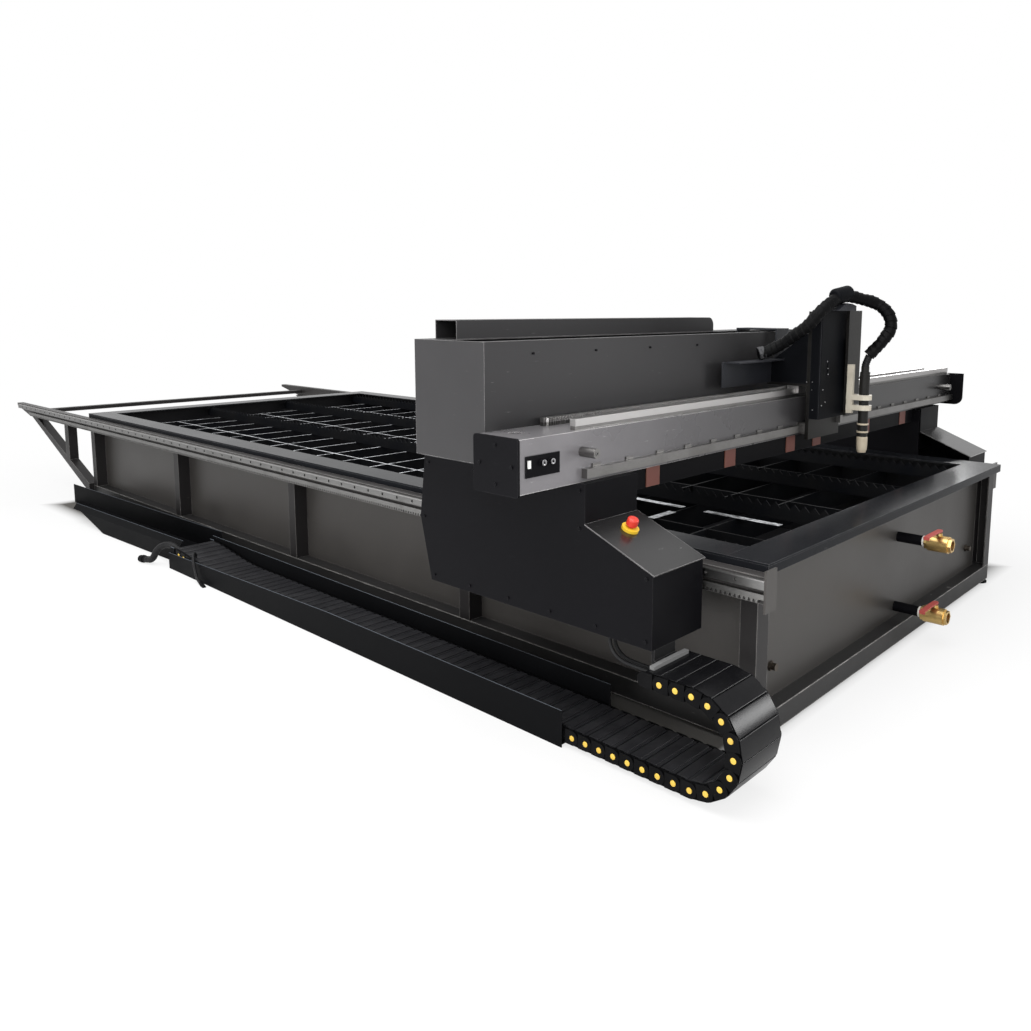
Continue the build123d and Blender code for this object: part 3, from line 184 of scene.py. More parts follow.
# shared steps for the finishes
def startFinish(name, color, roughness, metallic=0.0, specular=0.5):
    material = bpy.data.materials.new(name)
    material.use_nodes = True
    shader = material.node_tree.nodes["Principled BSDF"]
    shader.inputs["Base Color"].default_value = (*color, 1)
    shader.inputs["Roughness"].default_value = roughness
    shader.inputs["Metallic"].default_value = metallic
    shader.inputs["Specular IOR Level"].default_value = specular
    return material, shader


def addNode(material, kind, **values):
    node = material.node_tree.nodes.new(kind)
    for key, value in values.items():
        setattr(node, key, value)
    return node


def wire(material, source, target):
    material.node_tree.links.new(source, target)


def objectPlace(material, stretch=(1, 1, 1)):
    place = addNode(material, "ShaderNodeTexCoord")
    mapping = addNode(material, "ShaderNodeMapping")
    mapping.inputs["Scale"].default_value = stretch
    wire(material, place.outputs["Object"], mapping.inputs["Vector"])
    return mapping.outputs["Vector"]


def noiseValue(material, place, scale, detail=4.0, roughness=0.55):
    noise = addNode(material, "ShaderNodeTexNoise")
    noise.inputs["Scale"].default_value = scale
    noise.inputs["Detail"].default_value = detail
    noise.inputs["Roughness"].default_value = roughness
    wire(material, place, noise.inputs["Vector"])
    return noise.outputs["Fac"]


def ramp(material, source, *stops):
    node = addNode(material, "ShaderNodeValToRGB")
    while len(node.color_ramp.elements) < len(stops):
        node.color_ramp.elements.new(0.5)
    for element, (place, level) in zip(node.color_ramp.elements, stops):
        element.position = place
        element.color = (level, level, level, 1)
    wire(material, source, node.inputs["Fac"])
    return node.outputs["Color"]


def combine(material, operation, a, b, clamp=True):
    node = addNode(material, "ShaderNodeMath", operation=operation, use_clamp=clamp)
    for socket, value in zip(node.inputs, (a, b)):
        if isinstance(value, (int, float)):
            socket.default_value = value
        else:
            wire(material, value, socket)
    return node.outputs["Value"]


def blendColors(material, factor, first, second):
    node = addNode(material, "ShaderNodeMix", data_type="RGBA")
    wire(material, factor, node.inputs["Factor"])
    for socket, value in ((node.inputs["A"], first), (node.inputs["B"], second)):
        if isinstance(value, tuple):
            socket.default_value = (*value, 1)
        else:
            wire(material, value, socket)
    return node.outputs["Result"]


def levels(material, source, low, high):
    node = addNode(material, "ShaderNodeMapRange")
    node.inputs["To Min"].default_value = low
    node.inputs["To Max"].default_value = high
    wire(material, source, node.inputs["Value"])
    return node.outputs["Result"]


def bumpFrom(material, shader, height, strength, distance):
    bump = addNode(material, "ShaderNodeBump")
    bump.inputs["Strength"].default_value = strength
    bump.inputs["Distance"].default_value = distance
    wire(material, height, bump.inputs["Height"])
    wire(material, bump.outputs["Normal"], shader.inputs["Normal"])


# where the surface turns a corner: bright there, dark on the flats; the paint uses it for worn edges
# with a painted highlight
def edgeLine(material, radius):
    bevel = addNode(material, "ShaderNodeBevel", samples=4)
    bevel.inputs["Radius"].default_value = radius
    flat = addNode(material, "ShaderNodeNewGeometry")
    dot = addNode(material, "ShaderNodeVectorMath", operation="DOT_PRODUCT")
    wire(material, bevel.outputs["Normal"], dot.inputs[0])
    wire(material, flat.outputs["Normal"], dot.inputs[1])
    turned = combine(material, "SUBTRACT", 1.0, dot.outputs["Value"])
    return ramp(material, turned, (0.02, 0.0), (0.16, 1.0))


# 1 where the place along the axis lies past the limit
def past(material, axis, limit):
    split = addNode(material, "ShaderNodeSeparateXYZ")
    wire(material, objectPlace(material), split.inputs["Vector"])
    return combine(material, "GREATER_THAN", split.outputs[axis], limit)


# painted light: a level that falls from near to far along Y, fast at first
def paintedLightFalloff(material, start, end, near, far, power):
    split = addNode(material, "ShaderNodeSeparateXYZ")
    wire(material, objectPlace(material), split.inputs["Vector"])
    share = addNode(material, "ShaderNodeMapRange")
    share.inputs["From Min"].default_value = end
    share.inputs["From Max"].default_value = start
    wire(material, split.outputs["Y"], share.inputs["Value"])
    return levels(material, combine(material, "POWER", share.outputs["Result"], power), far, near)


# 1 on faces that look up
def lookingUp(material, least=0.9):
    face = addNode(material, "ShaderNodeNewGeometry")
    facing = addNode(material, "ShaderNodeSeparateXYZ")
    wire(material, face.outputs["Normal"], facing.inputs["Vector"])
    return combine(material, "GREATER_THAN", facing.outputs["Z"], least)


# sheet-metal paint: soft tone drift, fine flake, scuffs, bright edges that are wear with a painted
# highlight, and if asked painted light on up-facing tops and along Y
def paintFinish(name, color, wornAndSheen, roughness, metallic, edge=0.003, drift=0.16, flake=900.0,
                specular=0.5, tint=None, beyond=None, paintedTopLight=None, paintedLightFade=None):
    material, shader = startFinish(name, color, roughness, metallic, specular)
    if tint:
        shader.inputs["Specular Tint"].default_value = (*tint, 1)
    place = objectPlace(material)
    drifts = noiseValue(material, place, scale=1.7, detail=5.0, roughness=0.6)
    cloud = ramp(material, drifts, (0.3, 0.0), (0.72, 1.0))
    fine = noiseValue(material, place, scale=flake, detail=2.0, roughness=0.5)
    dark = tuple(c * (1 - drift) for c in color)
    light = tuple(c * (1 + drift) for c in color)
    tone = blendColors(material, cloud, dark, light)
    speck = ramp(material, fine, (0.58, 0.0), (0.78, 0.35))
    tone = blendColors(material, speck, tone, tuple(min(1.0, c * 1.7) for c in color))
    upright = objectPlace(material, stretch=(6, 6, 60))
    streaks = noiseValue(material, upright, scale=2.2, detail=6.0, roughness=0.7)
    scuff = ramp(material, streaks, (0.66, 0.0), (0.74, 0.3))
    tone = blendColors(material, scuff, tone, wornAndSheen)
    patchy = ramp(material, noiseValue(material, place, scale=11.0), (0.3, 0.25), (0.62, 0.8))
    # edges: worn paint plus a painted highlight along every corner
    line = combine(material, "MULTIPLY", edgeLine(material, edge), patchy)
    tone = blendColors(material, line, tone, wornAndSheen)
    if beyond:
        tone = blendColors(material, past(material, "X", beyond["x"]), tone, beyond["color"])
    # painted highlight: up-facing faces above a height take a lighter colour
    if paintedTopLight:
        high = combine(material, "MULTIPLY", lookingUp(material), past(material, "Z", paintedTopLight["z"]))
        tone = blendColors(material, high, tone, paintedTopLight["color"])
    # painted light: the colour is scaled brighter towards the near end and darker towards the far end
    if paintedLightFade:
        scale = addNode(material, "ShaderNodeVectorMath", operation="SCALE")
        wire(material, tone, scale.inputs["Vector"])
        wire(material, paintedLightFalloff(material, **paintedLightFade), scale.inputs["Scale"])
        tone = scale.outputs["Vector"]
    wire(material, tone, shader.inputs["Base Color"])
    sheen = levels(material, cloud, roughness * 0.86, roughness * 1.16)
    wire(material, sheen, shader.inputs["Roughness"])
    bumpFrom(material, shader, fine, strength=0.05, distance=0.0006)
    return material


# ground or drawn steel: fine lines along one axis, oily patches
def steelFinish(name, color, roughness, stretch, stain=(0.2, 0.19, 0.18), above=None):
    material, shader = startFinish(name, color, roughness, 1.0)
    lines = noiseValue(material, objectPlace(material, stretch), scale=60.0, detail=4.0, roughness=0.6)
    drawn = ramp(material, lines, (0.3, 0.0), (0.7, 1.0))
    tone = blendColors(material, drawn, tuple(c * 0.82 for c in color), color)
    oil = noiseValue(material, objectPlace(material), scale=5.0, detail=6.0, roughness=0.65)
    patches = ramp(material, oil, (0.5, 0.0), (0.78, 0.65))
    tone = blendColors(material, patches, tone, stain)
    if above:
        tone = blendColors(material, past(material, "Z", above["z"]), tone, above["color"])
    wire(material, tone, shader.inputs["Base Color"])
    sheen = levels(material, lines, roughness * 0.75, roughness * 1.35)
    wire(material, sheen, shader.inputs["Roughness"])
    bumpFrom(material, shader, lines, strength=0.06, distance=0.0005)
    return material


# moulded plastic or rubber with a fine grain and some dust
def mouldFinish(name, color, roughness, dust, dusty, grain=260.0, depth=0.08, specular=0.5):
    material, shader = startFinish(name, color, roughness, 0.0, specular)
    place = objectPlace(material)
    fine = noiseValue(material, place, scale=grain, detail=3.0, roughness=0.6)
    settled = noiseValue(material, place, scale=9.0, detail=6.0, roughness=0.65)
    film = ramp(material, settled, (0.45, 0.0), (0.8, dusty))
    wire(material, blendColors(material, film, color, dust), shader.inputs["Base Color"])
    sheen = levels(material, fine, roughness * 0.85, roughness * 1.2)
    wire(material, sheen, shader.inputs["Roughness"])
    bumpFrom(material, shader, fine, strength=depth, distance=0.0008)
    return material


# burnt steel of the bed: black with a brown film, top faces away from the drain end and above a height
# painted bright: worn metal with a painted glint
def bedFinish(name, color, film, wornGlint, wornGlintX, wornGlintZ):
    material, shader = startFinish(name, color, 0.5, 0.0, 0.05)
    place = objectPlace(material)
    soot = noiseValue(material, place, scale=6.0, detail=6.0, roughness=0.65)
    cloud = ramp(material, soot, (0.35, 0.0), (0.75, 1.0))
    tone = blendColors(material, cloud, color, film)
    split = addNode(material, "ShaderNodeSeparateXYZ")
    wire(material, place, split.inputs["Vector"])
    top = lookingUp(material)
    left = combine(material, "LESS_THAN", split.outputs["X"], wornGlintX)
    strip = combine(material, "GREATER_THAN", split.outputs["Z"], wornGlintZ)
    flakes = noiseValue(material, place, scale=23.0, detail=5.0, roughness=0.7)
    patchy = ramp(material, flakes, (0.34, 0.15), (0.6, 1.0))
    # top faces left of a line or above a height: worn bare metal with a painted glint
    wornAndSheen = combine(material, "MULTIPLY", combine(material, "MAXIMUM", left, strip), top)
    share = combine(material, "MULTIPLY", wornAndSheen, patchy)
    wire(material, blendColors(material, share, tone, wornGlint), shader.inputs["Base Color"])
    wire(material, levels(material, cloud, 0.42, 0.6), shader.inputs["Roughness"])
    crust = noiseValue(material, place, scale=180.0, detail=3.0, roughness=0.6)
    bumpFrom(material, shader, crust, strength=0.2, distance=0.001)
    return material


# panel paint outside, burnt and wet inside the pan
def panFinish(name, color, wornAndSheen, inside, middle):
    material = paintFinish(name, color, wornAndSheen, 0.42, 0.25, specular=0.3)
    shader = material.node_tree.nodes["Principled BSDF"]
    paint = shader.inputs["Base Color"].links[0].from_socket
    away = addNode(material, "ShaderNodeVectorMath", operation="SUBTRACT")
    away.inputs[1].default_value = middle
    wire(material, objectPlace(material), away.inputs[0])
    face = addNode(material, "ShaderNodeNewGeometry")
    dot = addNode(material, "ShaderNodeVectorMath", operation="DOT_PRODUCT")
    wire(material, face.outputs["Normal"], dot.inputs[0])
    wire(material, away.outputs["Vector"], dot.inputs[1])
    inner = combine(material, "LESS_THAN", dot.outputs["Value"], 0.0)
    wire(material, blendColors(material, inner, paint, inside), shader.inputs["Base Color"])
    return material


finish = {
    "panelGrey": panFinish("panelGrey", color=(0.041, 0.038, 0.0355), wornAndSheen=(0.2, 0.19, 0.18),
        inside=(0.006, 0.006, 0.007), middle=(tableShift / 1000, 0, 1.0)),
    "frameGrey": paintFinish("frameGrey", color=(0.0155, 0.0143, 0.0145), wornAndSheen=(0.26, 0.25, 0.24),
        roughness=0.45, metallic=0.2, edge=0.006, specular=0.2),
    # baseGrey: a wide pale edge line, worn edges with a painted highlight along the ledge
    "baseGrey": paintFinish("baseGrey", color=(0.021, 0.0205, 0.0205), wornAndSheen=(0.6, 0.58, 0.56),
        roughness=0.45, metallic=0.2, edge=0.008, specular=0.2),
    "railGrey": paintFinish("railGrey", color=(0.032, 0.03, 0.0295), wornAndSheen=(0.3, 0.29, 0.28),
        roughness=0.42, metallic=0.2, edge=0.006, specular=0.25,
        beyond={"x": 3.8625, "color": (0.05, 0.0465, 0.044)}),
    "rimGloss": paintFinish("rimGloss", color=(0.008, 0.0085, 0.01), wornAndSheen=(0.14, 0.14, 0.145),
        roughness=0.2, metallic=0.0, specular=0.03, tint=(0.86, 0.93, 1)),
    # beamGrey: painted light, brighter at the near end and darker at the far end
    "beamGrey": paintFinish("beamGrey", color=(0.052, 0.05, 0.0525), wornAndSheen=(0.4, 0.39, 0.38),
        roughness=0.3, metallic=0.25, specular=0.5,
        paintedLightFade={"start": -1.75, "end": 1.75, "near": 3.2, "far": 0.3, "power": 3.0}),
    "caseGrey": paintFinish("caseGrey", color=(0.028, 0.0272, 0.0285), wornAndSheen=(0.36, 0.35, 0.35),
        roughness=0.44, metallic=0.25, specular=0.3),
    "blackCoat": paintFinish("blackCoat", color=(0.0038, 0.0037, 0.0046), wornAndSheen=(0.035, 0.035, 0.037),
        roughness=0.46, metallic=0.0, edge=0.0025, specular=0.04),
    "hoodCoat": paintFinish("hoodCoat", color=(0.003, 0.0033, 0.0043), wornAndSheen=(0.05, 0.05, 0.055),
        roughness=0.5, metallic=0.0, edge=0.002, specular=0.05),
    "armCoat": paintFinish("armCoat", color=(0.017, 0.018, 0.022), wornAndSheen=(0.12, 0.12, 0.13),
        roughness=0.44, metallic=0.1, edge=0.002, specular=0.2),
    # troughCoat: its up-facing flanges are painted light blue grey, a painted highlight
    "troughCoat": paintFinish("troughCoat", color=(0.003, 0.0031, 0.0035), wornAndSheen=(0.03, 0.03, 0.033),
        roughness=0.5, metallic=0.0, edge=0.0025, specular=0.025,
        paintedTopLight={"z": 0.03, "color": (0.09, 0.1, 0.115)}),
    "lidCoat": paintFinish("lidCoat", color=(0.01, 0.0096, 0.01), wornAndSheen=(0.36, 0.35, 0.35),
        roughness=0.24, metallic=0.0, edge=0.004, specular=0.5),
    # bed and comb tops painted bright: worn metal with a painted glint
    "bedSteel": bedFinish("bedSteel", color=(0.0045, 0.005, 0.0064), film=(0.008, 0.0079, 0.008),
        wornGlint=(0.85, 0.87, 0.9), wornGlintX=2.35, wornGlintZ=0.6015),
    "combSteel": bedFinish("combSteel", color=(0.0045, 0.005, 0.0064), film=(0.008, 0.0079, 0.008),
        wornGlint=(0.5, 0.52, 0.55), wornGlintX=-9.0, wornGlintZ=0.678),
    "railSteel": steelFinish("railSteel", color=(0.2, 0.198, 0.195), roughness=0.3, stretch=(0.6, 9, 9),
        stain=(0.08, 0.078, 0.075), above={"z": 0.6505, "color": (0.3, 0.295, 0.29)}),
    "beamRailSteel": steelFinish("beamRailSteel", color=(0.2, 0.195, 0.19), roughness=0.32,
        stretch=(9, 0.6, 9), stain=(0.1, 0.095, 0.09), above={"z": 1.16, "color": (0.4, 0.39, 0.385)}),
    "darkSteel": steelFinish("darkSteel", color=(0.2, 0.197, 0.192), roughness=0.4, stretch=(0.6, 9, 9),
        stain=(0.05, 0.048, 0.045)),
    "headSteel": steelFinish("headSteel", color=(0.38, 0.38, 0.39), roughness=0.34, stretch=(9, 9, 9)),
    "rimSteel": steelFinish("rimSteel", color=(0.32, 0.32, 0.33), roughness=0.34, stretch=(9, 9, 9)),
    "glandGrey": mouldFinish("glandGrey", color=(0.04, 0.04, 0.043), roughness=0.45,
        dust=(0.1, 0.1, 0.1), dusty=0.3, specular=0.2),
    "screwSteel": steelFinish("screwSteel", color=(0.5, 0.5, 0.5), roughness=0.32, stretch=(9, 9, 1)),
    "plateAlloy": steelFinish("plateAlloy", color=(0.028, 0.0272, 0.0258), roughness=0.42,
        stretch=(4, 4, 1), stain=(0.026, 0.025, 0.024)),
    "portSteel": steelFinish("portSteel", color=(0.1, 0.085, 0.07), roughness=0.45, stretch=(4, 4, 4),
        stain=(0.03, 0.024, 0.018)),
    "hangerSteel": paintFinish("hangerSteel", color=(0.006, 0.006, 0.0065), wornAndSheen=(0.08, 0.08, 0.08),
        roughness=0.45, metallic=0.0, specular=0.1, beyond={"x": 3.641, "color": (0.15, 0.15, 0.15)}),
    "chainBlack": mouldFinish("chainBlack", color=(0.002, 0.002, 0.0023), roughness=0.42,
        dust=(0.012, 0.012, 0.013), dusty=0.25, specular=0.05),
    "chainRib": mouldFinish("chainRib", color=(0.012, 0.012, 0.0135), roughness=0.36,
        dust=(0.045, 0.045, 0.048), dusty=0.35, specular=0.28),
    "chainGloss": mouldFinish("chainGloss", color=(0.004, 0.004, 0.0046), roughness=0.22,
        dust=(0.02, 0.02, 0.021), dusty=0.2, specular=0.09),
    "pinYellow": mouldFinish("pinYellow", color=(0.58, 0.38, 0.045), roughness=0.4,
        dust=(0.3, 0.17, 0.03), dusty=0.5),
    "brassCast": steelFinish("brassCast", color=(0.66, 0.46, 0.18), roughness=0.32, stretch=(2, 2, 2),
        stain=(0.3, 0.18, 0.07)),
    "leverRed": mouldFinish("leverRed", color=(0.34, 0.06, 0.05), roughness=0.45,
        dust=(0.22, 0.09, 0.08), dusty=0.4, specular=0.3),
    "stopYellow": mouldFinish("stopYellow", color=(0.78, 0.5, 0.03), roughness=0.36,
        dust=(0.5, 0.3, 0.05), dusty=0.3),
    "stopRed": mouldFinish("stopRed", color=(0.58, 0.03, 0.016), roughness=0.28, dust=(0.4, 0.1, 0.08),
        dusty=0.2),
    "switchWhite": mouldFinish("switchWhite", color=(0.74, 0.74, 0.72), roughness=0.4,
        dust=(0.5, 0.5, 0.48), dusty=0.3),
    "tabCopper": paintFinish("tabCopper", color=(0.15, 0.053, 0.041), wornAndSheen=(0.36, 0.19, 0.12),
        roughness=0.46, metallic=0.2, specular=0.3),
    "hoseSleeve": mouldFinish("hoseSleeve", color=(0.002, 0.002, 0.0023), roughness=0.42, grain=420.0,
        dust=(0.016, 0.016, 0.016), dusty=0.3, depth=0.25, specular=0.06),
    "cableRubber": mouldFinish("cableRubber", color=(0.006, 0.006, 0.0066), roughness=0.45,
        dust=(0.03, 0.03, 0.03), dusty=0.3, specular=0.14),
    "torchCream": mouldFinish("torchCream", color=(0.48, 0.44, 0.36), roughness=0.45,
        dust=(0.24, 0.2, 0.15), dusty=0.6),
    "nozzleBeige": mouldFinish("nozzleBeige", color=(0.42, 0.36, 0.27), roughness=0.45,
        dust=(0.2, 0.16, 0.11), dusty=0.6),
    "torchDark": mouldFinish("torchDark", color=(0.012, 0.0115, 0.0105), roughness=0.42,
        dust=(0.025, 0.024, 0.023), dusty=0.4, specular=0.14),
    "tapeWhite": mouldFinish("tapeWhite", color=(0.72, 0.7, 0.66), roughness=0.5,
        dust=(0.5, 0.45, 0.36), dusty=0.5),
}
print("finishes:", len(finish))

nodeFinish = {
    "panelGrey": ["water_pan"],
    "frameGrey": ["side_posts", "overhang_frame"],
    "baseGrey": ["base_frame"],
    "railGrey": ["rail_tubes"],
    "rimGloss": ["top_rim"],
    "beamGrey": ["gantry_beam"],
    "caseGrey": ["cable_case", "case_guard"],
    "blackCoat": ["leveling_feet", "drain_pipes", "beam_end_plates", "gantry_legs", "near_cover",
                  "far_cover", "gantry_motors", "control_plate", "beam_skirt", "cover_screws",
                  "carriage_motors"],
    "hoodCoat": ["carriage_hood", "column_cover"],
    "armCoat": ["cable_arm"],
    "troughCoat": ["chain_trough"],
    "lidCoat": ["console_lids"],
    "bedSteel": ["support_grid"],
    "combSteel": ["slat_combs"],
    "railSteel": ["linear_rails", "gantry_bearings", "near_pinion", "far_pinion", "travel_pinion"],
    "beamRailSteel": ["beam_rails", "beam_rack", "beam_bumpers", "carriage_guides"],
    "darkSteel": ["gear_racks"],
    "portSteel": ["pan_ports"],
    "screwSteel": ["lift_screw"],
    "plateAlloy": ["carriage_plate", "lift_plate"],
    "hangerSteel": ["chain_hanger"],
    "chainBlack": ["lead_plug", "chain_lower_run", "chain_upper_run", "chain_loop", "case_chain"],
    "brassCast": ["valve_bodies"],
    "leverRed": ["upper_valve_lever", "lower_valve_lever"],
    "stopYellow": ["estop_base"],
    "stopRed": ["estop_button"],
    "switchWhite": ["rocker_switch"],
    "tabCopper": ["skirt_tabs"],
    "hoseSleeve": ["torch_hose"],
    "cableRubber": ["signal_lead", "feed_cables"],
    "torchCream": ["torch_mount"],
    "nozzleBeige": ["torch_nozzle"],
    "torchDark": ["torch_body"],
}
for finishName, nodeNames in nodeFinish.items():
    for nodeName in nodeNames:
        dress(bpy.data.objects[nodeName], finish[finishName])
print("finishes: CAD nodes dressed")


# cords: each line is a smooth spline, with the route's points as its control points
def cordCurve(name, route, radius, material, smooth=12):
    curve = bpy.data.curves.new(name, "CURVE")
    curve.dimensions = "3D"
    spline = curve.splines.new("NURBS")
    spline.points.add(len(route) - 1)
    for point, place in zip(spline.points, route):
        point.co = (*place, 1)
    spline.order_u = 3
    spline.use_endpoint_u = True
    spline.resolution_u = smooth
    curve.bevel_depth = radius
    curve.bevel_resolution = 4
    curve.use_fill_caps = radius > 0
    curve.materials.append(material)
    obj = bpy.data.objects.new(name, curve)
    bpy.context.collection.objects.link(obj)
    return obj


# the spline's own points, from the same curve with no bevel
def splinePoints(name, route, smooth):
    bare = cordCurve(name, route, 0.0, finish["cableRubber"], smooth)
    bpy.context.view_layer.update()
    mesh = bpy.data.meshes.new_from_object(bare.evaluated_get(bpy.context.evaluated_depsgraph_get()))
    points = [v.co.copy() for v in mesh.vertices]
    curve = bare.data
    bpy.data.objects.remove(bare)
    bpy.data.curves.remove(curve)
    bpy.data.meshes.remove(mesh)
    return points


torchHose = {
    "radius": 0.0285, "wrapPitch": 0.03, "wrapRise": 0.004, "smooth": 34, "sides": 28, "length": 1.036,
    "start": [(2450, -275, 1354.5), (2497, -228, 1374), (2548, -202, 1410), (2606, -193, 1453),
              (2664, -180, 1502), (2703, -157, 1558), (2720, -92, 1600), (2731, -3, 1631),
              (2766, 55, 1624)],
    "axis": (2795, 150), "out": (0.85, 0.53), "loop": 108, "loopZ": 1493, "offset": -1,
    "turn": math.radians(26), "bends": 5, "tail": 128,
    "blendStart": (2740, 80, 1500), "blendEnd": (2815, 150, 1500),
}


# up from the arm and over the saddle, then one bend down towards the torch's axis
def hoseRoute(h):
    turn = h["turn"]
    reach = h["loop"] / math.cos(turn / 2)
    flat, rise = [], []
    for i in range(h["bends"]):
        angle = math.pi / 2 - turn / 2 - i * turn
        flat.append(h["offset"] + reach * math.cos(angle))
        rise.append(h["loopZ"] + reach * math.sin(angle))
    last = math.pi / 2 - h["bends"] * turn
    flat.append(flat[-1] + h["tail"] * math.sin(last))
    rise.append(rise[-1] - h["tail"] * math.cos(last))
    (axisX, axisY), (outX, outY) = h["axis"], h["out"]
    loop = [(axisX + f * outX, axisY + f * outY, z) for f, z in zip(flat, rise)]
    return [at(*p) for p in h["start"] + loop]


wrapLump = {"share": 0.45, "along": 37, "swing": 2.1, "twist": 11}    # how uneven the wrap lies


# a bundle bound with overlapping turns of wrap: each turn stands a little over the next
def wrapTube(name, points, h, material):
    line = np.array([tuple(p) for p in points])
    along = np.concatenate(([0], np.cumsum(np.linalg.norm(np.diff(line, axis=0), axis=1))))
    tangents = np.gradient(line, axis=0)
    tangents /= np.linalg.norm(tangents, axis=1)[:, None]
    side = np.cross(tangents[0], (0, 0, 1))
    side /= np.linalg.norm(side)
    vertices, faces = [], []
    sides = h["sides"]
    for i, (place, tangent) in enumerate(zip(line, tangents)):
        side = side - tangent * np.dot(side, tangent)
        side /= np.linalg.norm(side)
        up = np.cross(tangent, side)
        for k in range(sides):
            angle = 2 * math.pi * k / sides
            turn = (along[i] / h["wrapPitch"] + k / sides) % 1.0
            swing = wrapLump["swing"] * math.sin(angle + along[i] * wrapLump["twist"])
            lump = wrapLump["share"] * math.sin(along[i] * wrapLump["along"] + swing)
            radius = h["radius"] + h["wrapRise"] * (turn - 0.5 + lump)
            vertices.append(place + radius * (math.cos(angle) * side + math.sin(angle) * up))
    for i in range(len(line) - 1):
        for k in range(sides):
            n = (k + 1) % sides
            faces.append((i * sides + k, i * sides + n, (i + 1) * sides + n, (i + 1) * sides + k))
    faces.append(tuple(range(sides))[::-1])
    faces.append(tuple((len(line) - 1) * sides + k for k in range(sides)))
    mesh = bpy.data.meshes.new(name)
    mesh.from_pydata([tuple(v) for v in vertices], [], faces)
    obj = bpy.data.objects.new(name, mesh)
    bpy.context.collection.objects.link(obj)
    dress(obj, material)
    makeActive(obj)
    bpy.ops.object.mode_set(mode="EDIT")
    bpy.ops.mesh.select_all(action="SELECT")
    bpy.ops.mesh.normals_make_consistent(inside=False)
    bpy.ops.object.mode_set(mode="OBJECT")
    smoothShade(obj, 50)
    return obj


hosePoints = splinePoints("hoseLine", hoseRoute(torchHose), torchHose["smooth"])
hose = wrapTube("torchHose", hosePoints, torchHose, finish["hoseSleeve"])
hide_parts("torch_hose")
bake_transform(hose)

torchWhip = {
    "radius": 0.0175, "wrapPitch": 0.012, "wrapRise": 0.002, "smooth": 40, "sides": 20,
    "top": 1291, "up": 16,
}
whipRoute = [
    hoseRoute(torchHose)[-1], at(*torchHose["axis"], torchWhip["top"] + torchWhip["up"]),
    at(*torchHose["axis"], torchWhip["top"])]
whipPoints = splinePoints("whipLine", whipRoute, torchWhip["smooth"])
whip = wrapTube("torchWhip", whipPoints, torchWhip, finish["cableRubber"])
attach(whip, "torch")

# shares of the plug's length and radius, with the sides of each ring
plugShell = {
    "grip": {"low": 0, "high": 0.36, "wide": 0.84, "sides": 28},
    "ring": {"low": 0.36, "high": 0.7, "wide": 0.98, "sides": 18},
    "nose": {"low": 0.7, "high": 1, "wide": 0.88, "sides": 28},
}
plugRound = 0.07


# connector shell on a cord's end: rear grip, coupling ring with flats and nose along the cord's last run
def makePlug(name, before, end, radius, length):
    pieces = []
    for ring in plugShell.values():
        middle = (0, 0, (ring["low"] + ring["high"]) * length / 2)
        tall = (ring["high"] - ring["low"]) * length
        piece = addRod("shell", middle, radius * ring["wide"], tall, "Z", ring["sides"])
        roundEdges(piece, lambda m, d: isAcross(d.z), radius * plugRound, 2)
        pieces.append(piece)
    plug = joinPieces(name, pieces)
    plug.data.transform(alongRun(end, (end - before).normalized()))
    dress(plug, finish["chainBlack"])
    smoothShade(plug, 18)
    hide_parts("lead_plug")
    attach(plug, "table")
    return plug


tailBundle = {
    "radius": 0.020, "wrapPitch": 0.034, "wrapRise": 0.0016, "smooth": 20, "sides": 24, "length": 0.323,
    "plugRadius": 0.024, "plugLength": 0.062,
    "route": [(-598.8, -1722, 102), (-630, -1722, 102), (-664, -1735, 126), (-704, -1757, 134),
              (-744, -1783, 116), (-772, -1800, 80), (-788, -1808, 48), (-812, -1816, 27),
              (-850, -1824, 25)],
}
tailRoute = [at(*p) for p in tailBundle["route"]]
tailPoints = splinePoints("tailLine", tailRoute, tailBundle["smooth"])
tail = wrapTube("tailBundle", tailPoints, tailBundle, finish["cableRubber"])
tailPlug = makePlug("tailPlug", *tailRoute[-2:], tailBundle["plugRadius"], tailBundle["plugLength"])
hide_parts("signal_lead")
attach(tail, "table")

signalLead = {
    "radius": 0.008, "length": 0.279, "plugRadius": 0.0115, "plugLength": 0.064,
    "route": [(-379, -1735, 111.8), (-376.6, -1735, 129.8), (-350, -1756, 148), (-312, -1780, 136),
              (-282, -1791, 100), (-262, -1792, 56), (-240, -1795, 20), (-196, -1799, 12)],
}
leadRoute = [at(*p) for p in signalLead["route"]]
lead = cordCurve("signalLead", leadRoute, signalLead["radius"], finish["cableRubber"])
leadPlug = makePlug("leadPlug", *leadRoute[-2:], signalLead["plugRadius"], signalLead["plugLength"])
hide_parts("signal_lead")
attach(lead, "table")

feedCable = {
    "radius": 0.007, "length": 0.252, "rows": (-1694, -1668),
    "route": [(2716, 440), (2716, 410), (2734, 380), (2764, 363), (2806, 357), (2918.0, 357)],
}
for row, y in enumerate(feedCable["rows"]):
    route = [at(x, y, z) for x, z in feedCable["route"]]
    cable = cordCurve(f"feedCable{row + 1}", route, feedCable["radius"], finish["cableRubber"])
    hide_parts("feed_cables")
    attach(cable, "gantry")
print("cords: hose, whip, tail, lead and feed cables")

# cable chain
cableChain = {
    "pitch": 62.8, "height": 60, "width": 250, "plateHalf": 27, "plateThick": 7, "lidThick": 6,
    "pinR": 10.5, "middleY": -1640, "lowZ": 46, "bendR": 157, "fixedX": -598.8, "rise": 54,
    "riseLinks": 9,
    "lowerLinks": 59, "loopLinks": 8, "upperLinks": 3, "bendLid": 1.12, "bendTravel": 3100,
    "bridgeLinks": 2, "foldedLinks": 49, "foldZone": 14, "foldGap": 8, "slim": (1, 0.93, 0.86, 1),
}

